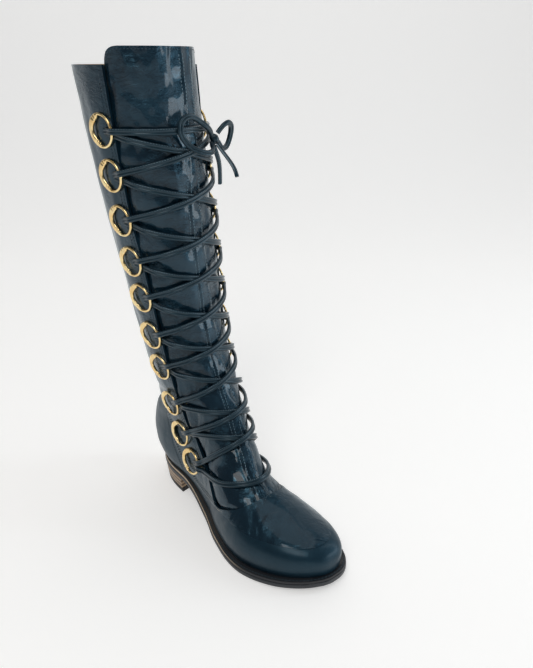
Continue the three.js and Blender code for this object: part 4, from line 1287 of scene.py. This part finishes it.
# Studio
def area_light(name, at, aim, size, power, colour=(1, 1, 1)):
    light = bpy.data.lights.new(name, "AREA")
    light.shape = "RECTANGLE"
    light.size, light.size_y = size
    light.energy = power
    light.color = colour
    obj = bpy.data.objects.new(name, light)
    obj.location = at
    obj.rotation_mode = "QUATERNION"
    obj.rotation_quaternion = (Vector(aim) - Vector(at)).to_track_quat("-Z", "Y")
    bpy.context.collection.objects.link(obj)


area_light("key", (-0.9, -0.7, 1.5), (0, 0, 0.2), (0.7, 0.9), 9, (1.0, 0.98, 0.95))
area_light("top", (0.2, 0.2, 2.2), (0, 0, 0), (1.6, 1.6), 6, (1.0, 0.99, 0.97))
area_light("side_strip", (1.1, -0.7, 0.9), (0, 0, 0.25), (0.25, 1.1), 3, (0.85, 0.94, 1.0))
area_light("window", (0.95, -1.1, 0.28), (0, 0, 0.40), (0.9, 0.28), 3.6, (0.85, 0.94, 1.0))
world = bpy.data.worlds.new("studio")
world.use_nodes = True
room = world.node_tree.nodes["Background"]
room.inputs["Color"].default_value = (0.86, 0.92, 1.0, 1)
room.inputs["Strength"].default_value = 0.2
bpy.context.scene.world = world
bpy.context.scene.view_settings.view_transform = "Standard"

# Floor: a pale paper sweep that turns up behind the boot, away from the camera
SWEEP_FLAT, SWEEP_TURN, SWEEP_HIGH, SWEEP_HALF = 0.9, 1.2, 4.0, 6.0
PAPER_GLOW = 0.40
paper = Look("floor_paper", (0.80, 0.79, 0.775), 0.8)
paper.set("Emission Color", (1.0, 0.99, 0.975, 1))
paper.set("Emission Strength", PAPER_GLOW)
away = np.array([math.sin(math.radians(-CAMERA_TURN)), math.cos(math.radians(CAMERA_TURN)), 0.0])
along_paper = np.array([away[1], -away[0], 0.0])
profile = [(-SWEEP_HALF, 0.0), (SWEEP_FLAT, 0.0)]
profile += [(SWEEP_FLAT + SWEEP_TURN * math.sin(a), SWEEP_TURN * (1 - math.cos(a)))
            for a in np.linspace(0, math.pi / 2, 25)[1:]]
profile.append((SWEEP_FLAT + SWEEP_TURN, SWEEP_HIGH))
paper_points = [tuple(away * far + along_paper * side * SWEEP_HALF + np.array([0, 0, z]))
                for far, z in profile for side in (-1, 1)]
paper_faces = [(2 * i, 2 * i + 1, 2 * i + 3, 2 * i + 2) for i in range(len(profile) - 1)]
floor_mesh = bpy.data.meshes.new("floor")
floor_mesh.from_pydata(paper_points, [], paper_faces)
floor_mesh.materials.append(paper.material)
floor_mesh.shade_smooth()
floor = bpy.data.objects.new("floor", floor_mesh)
bpy.context.collection.objects.link(floor)
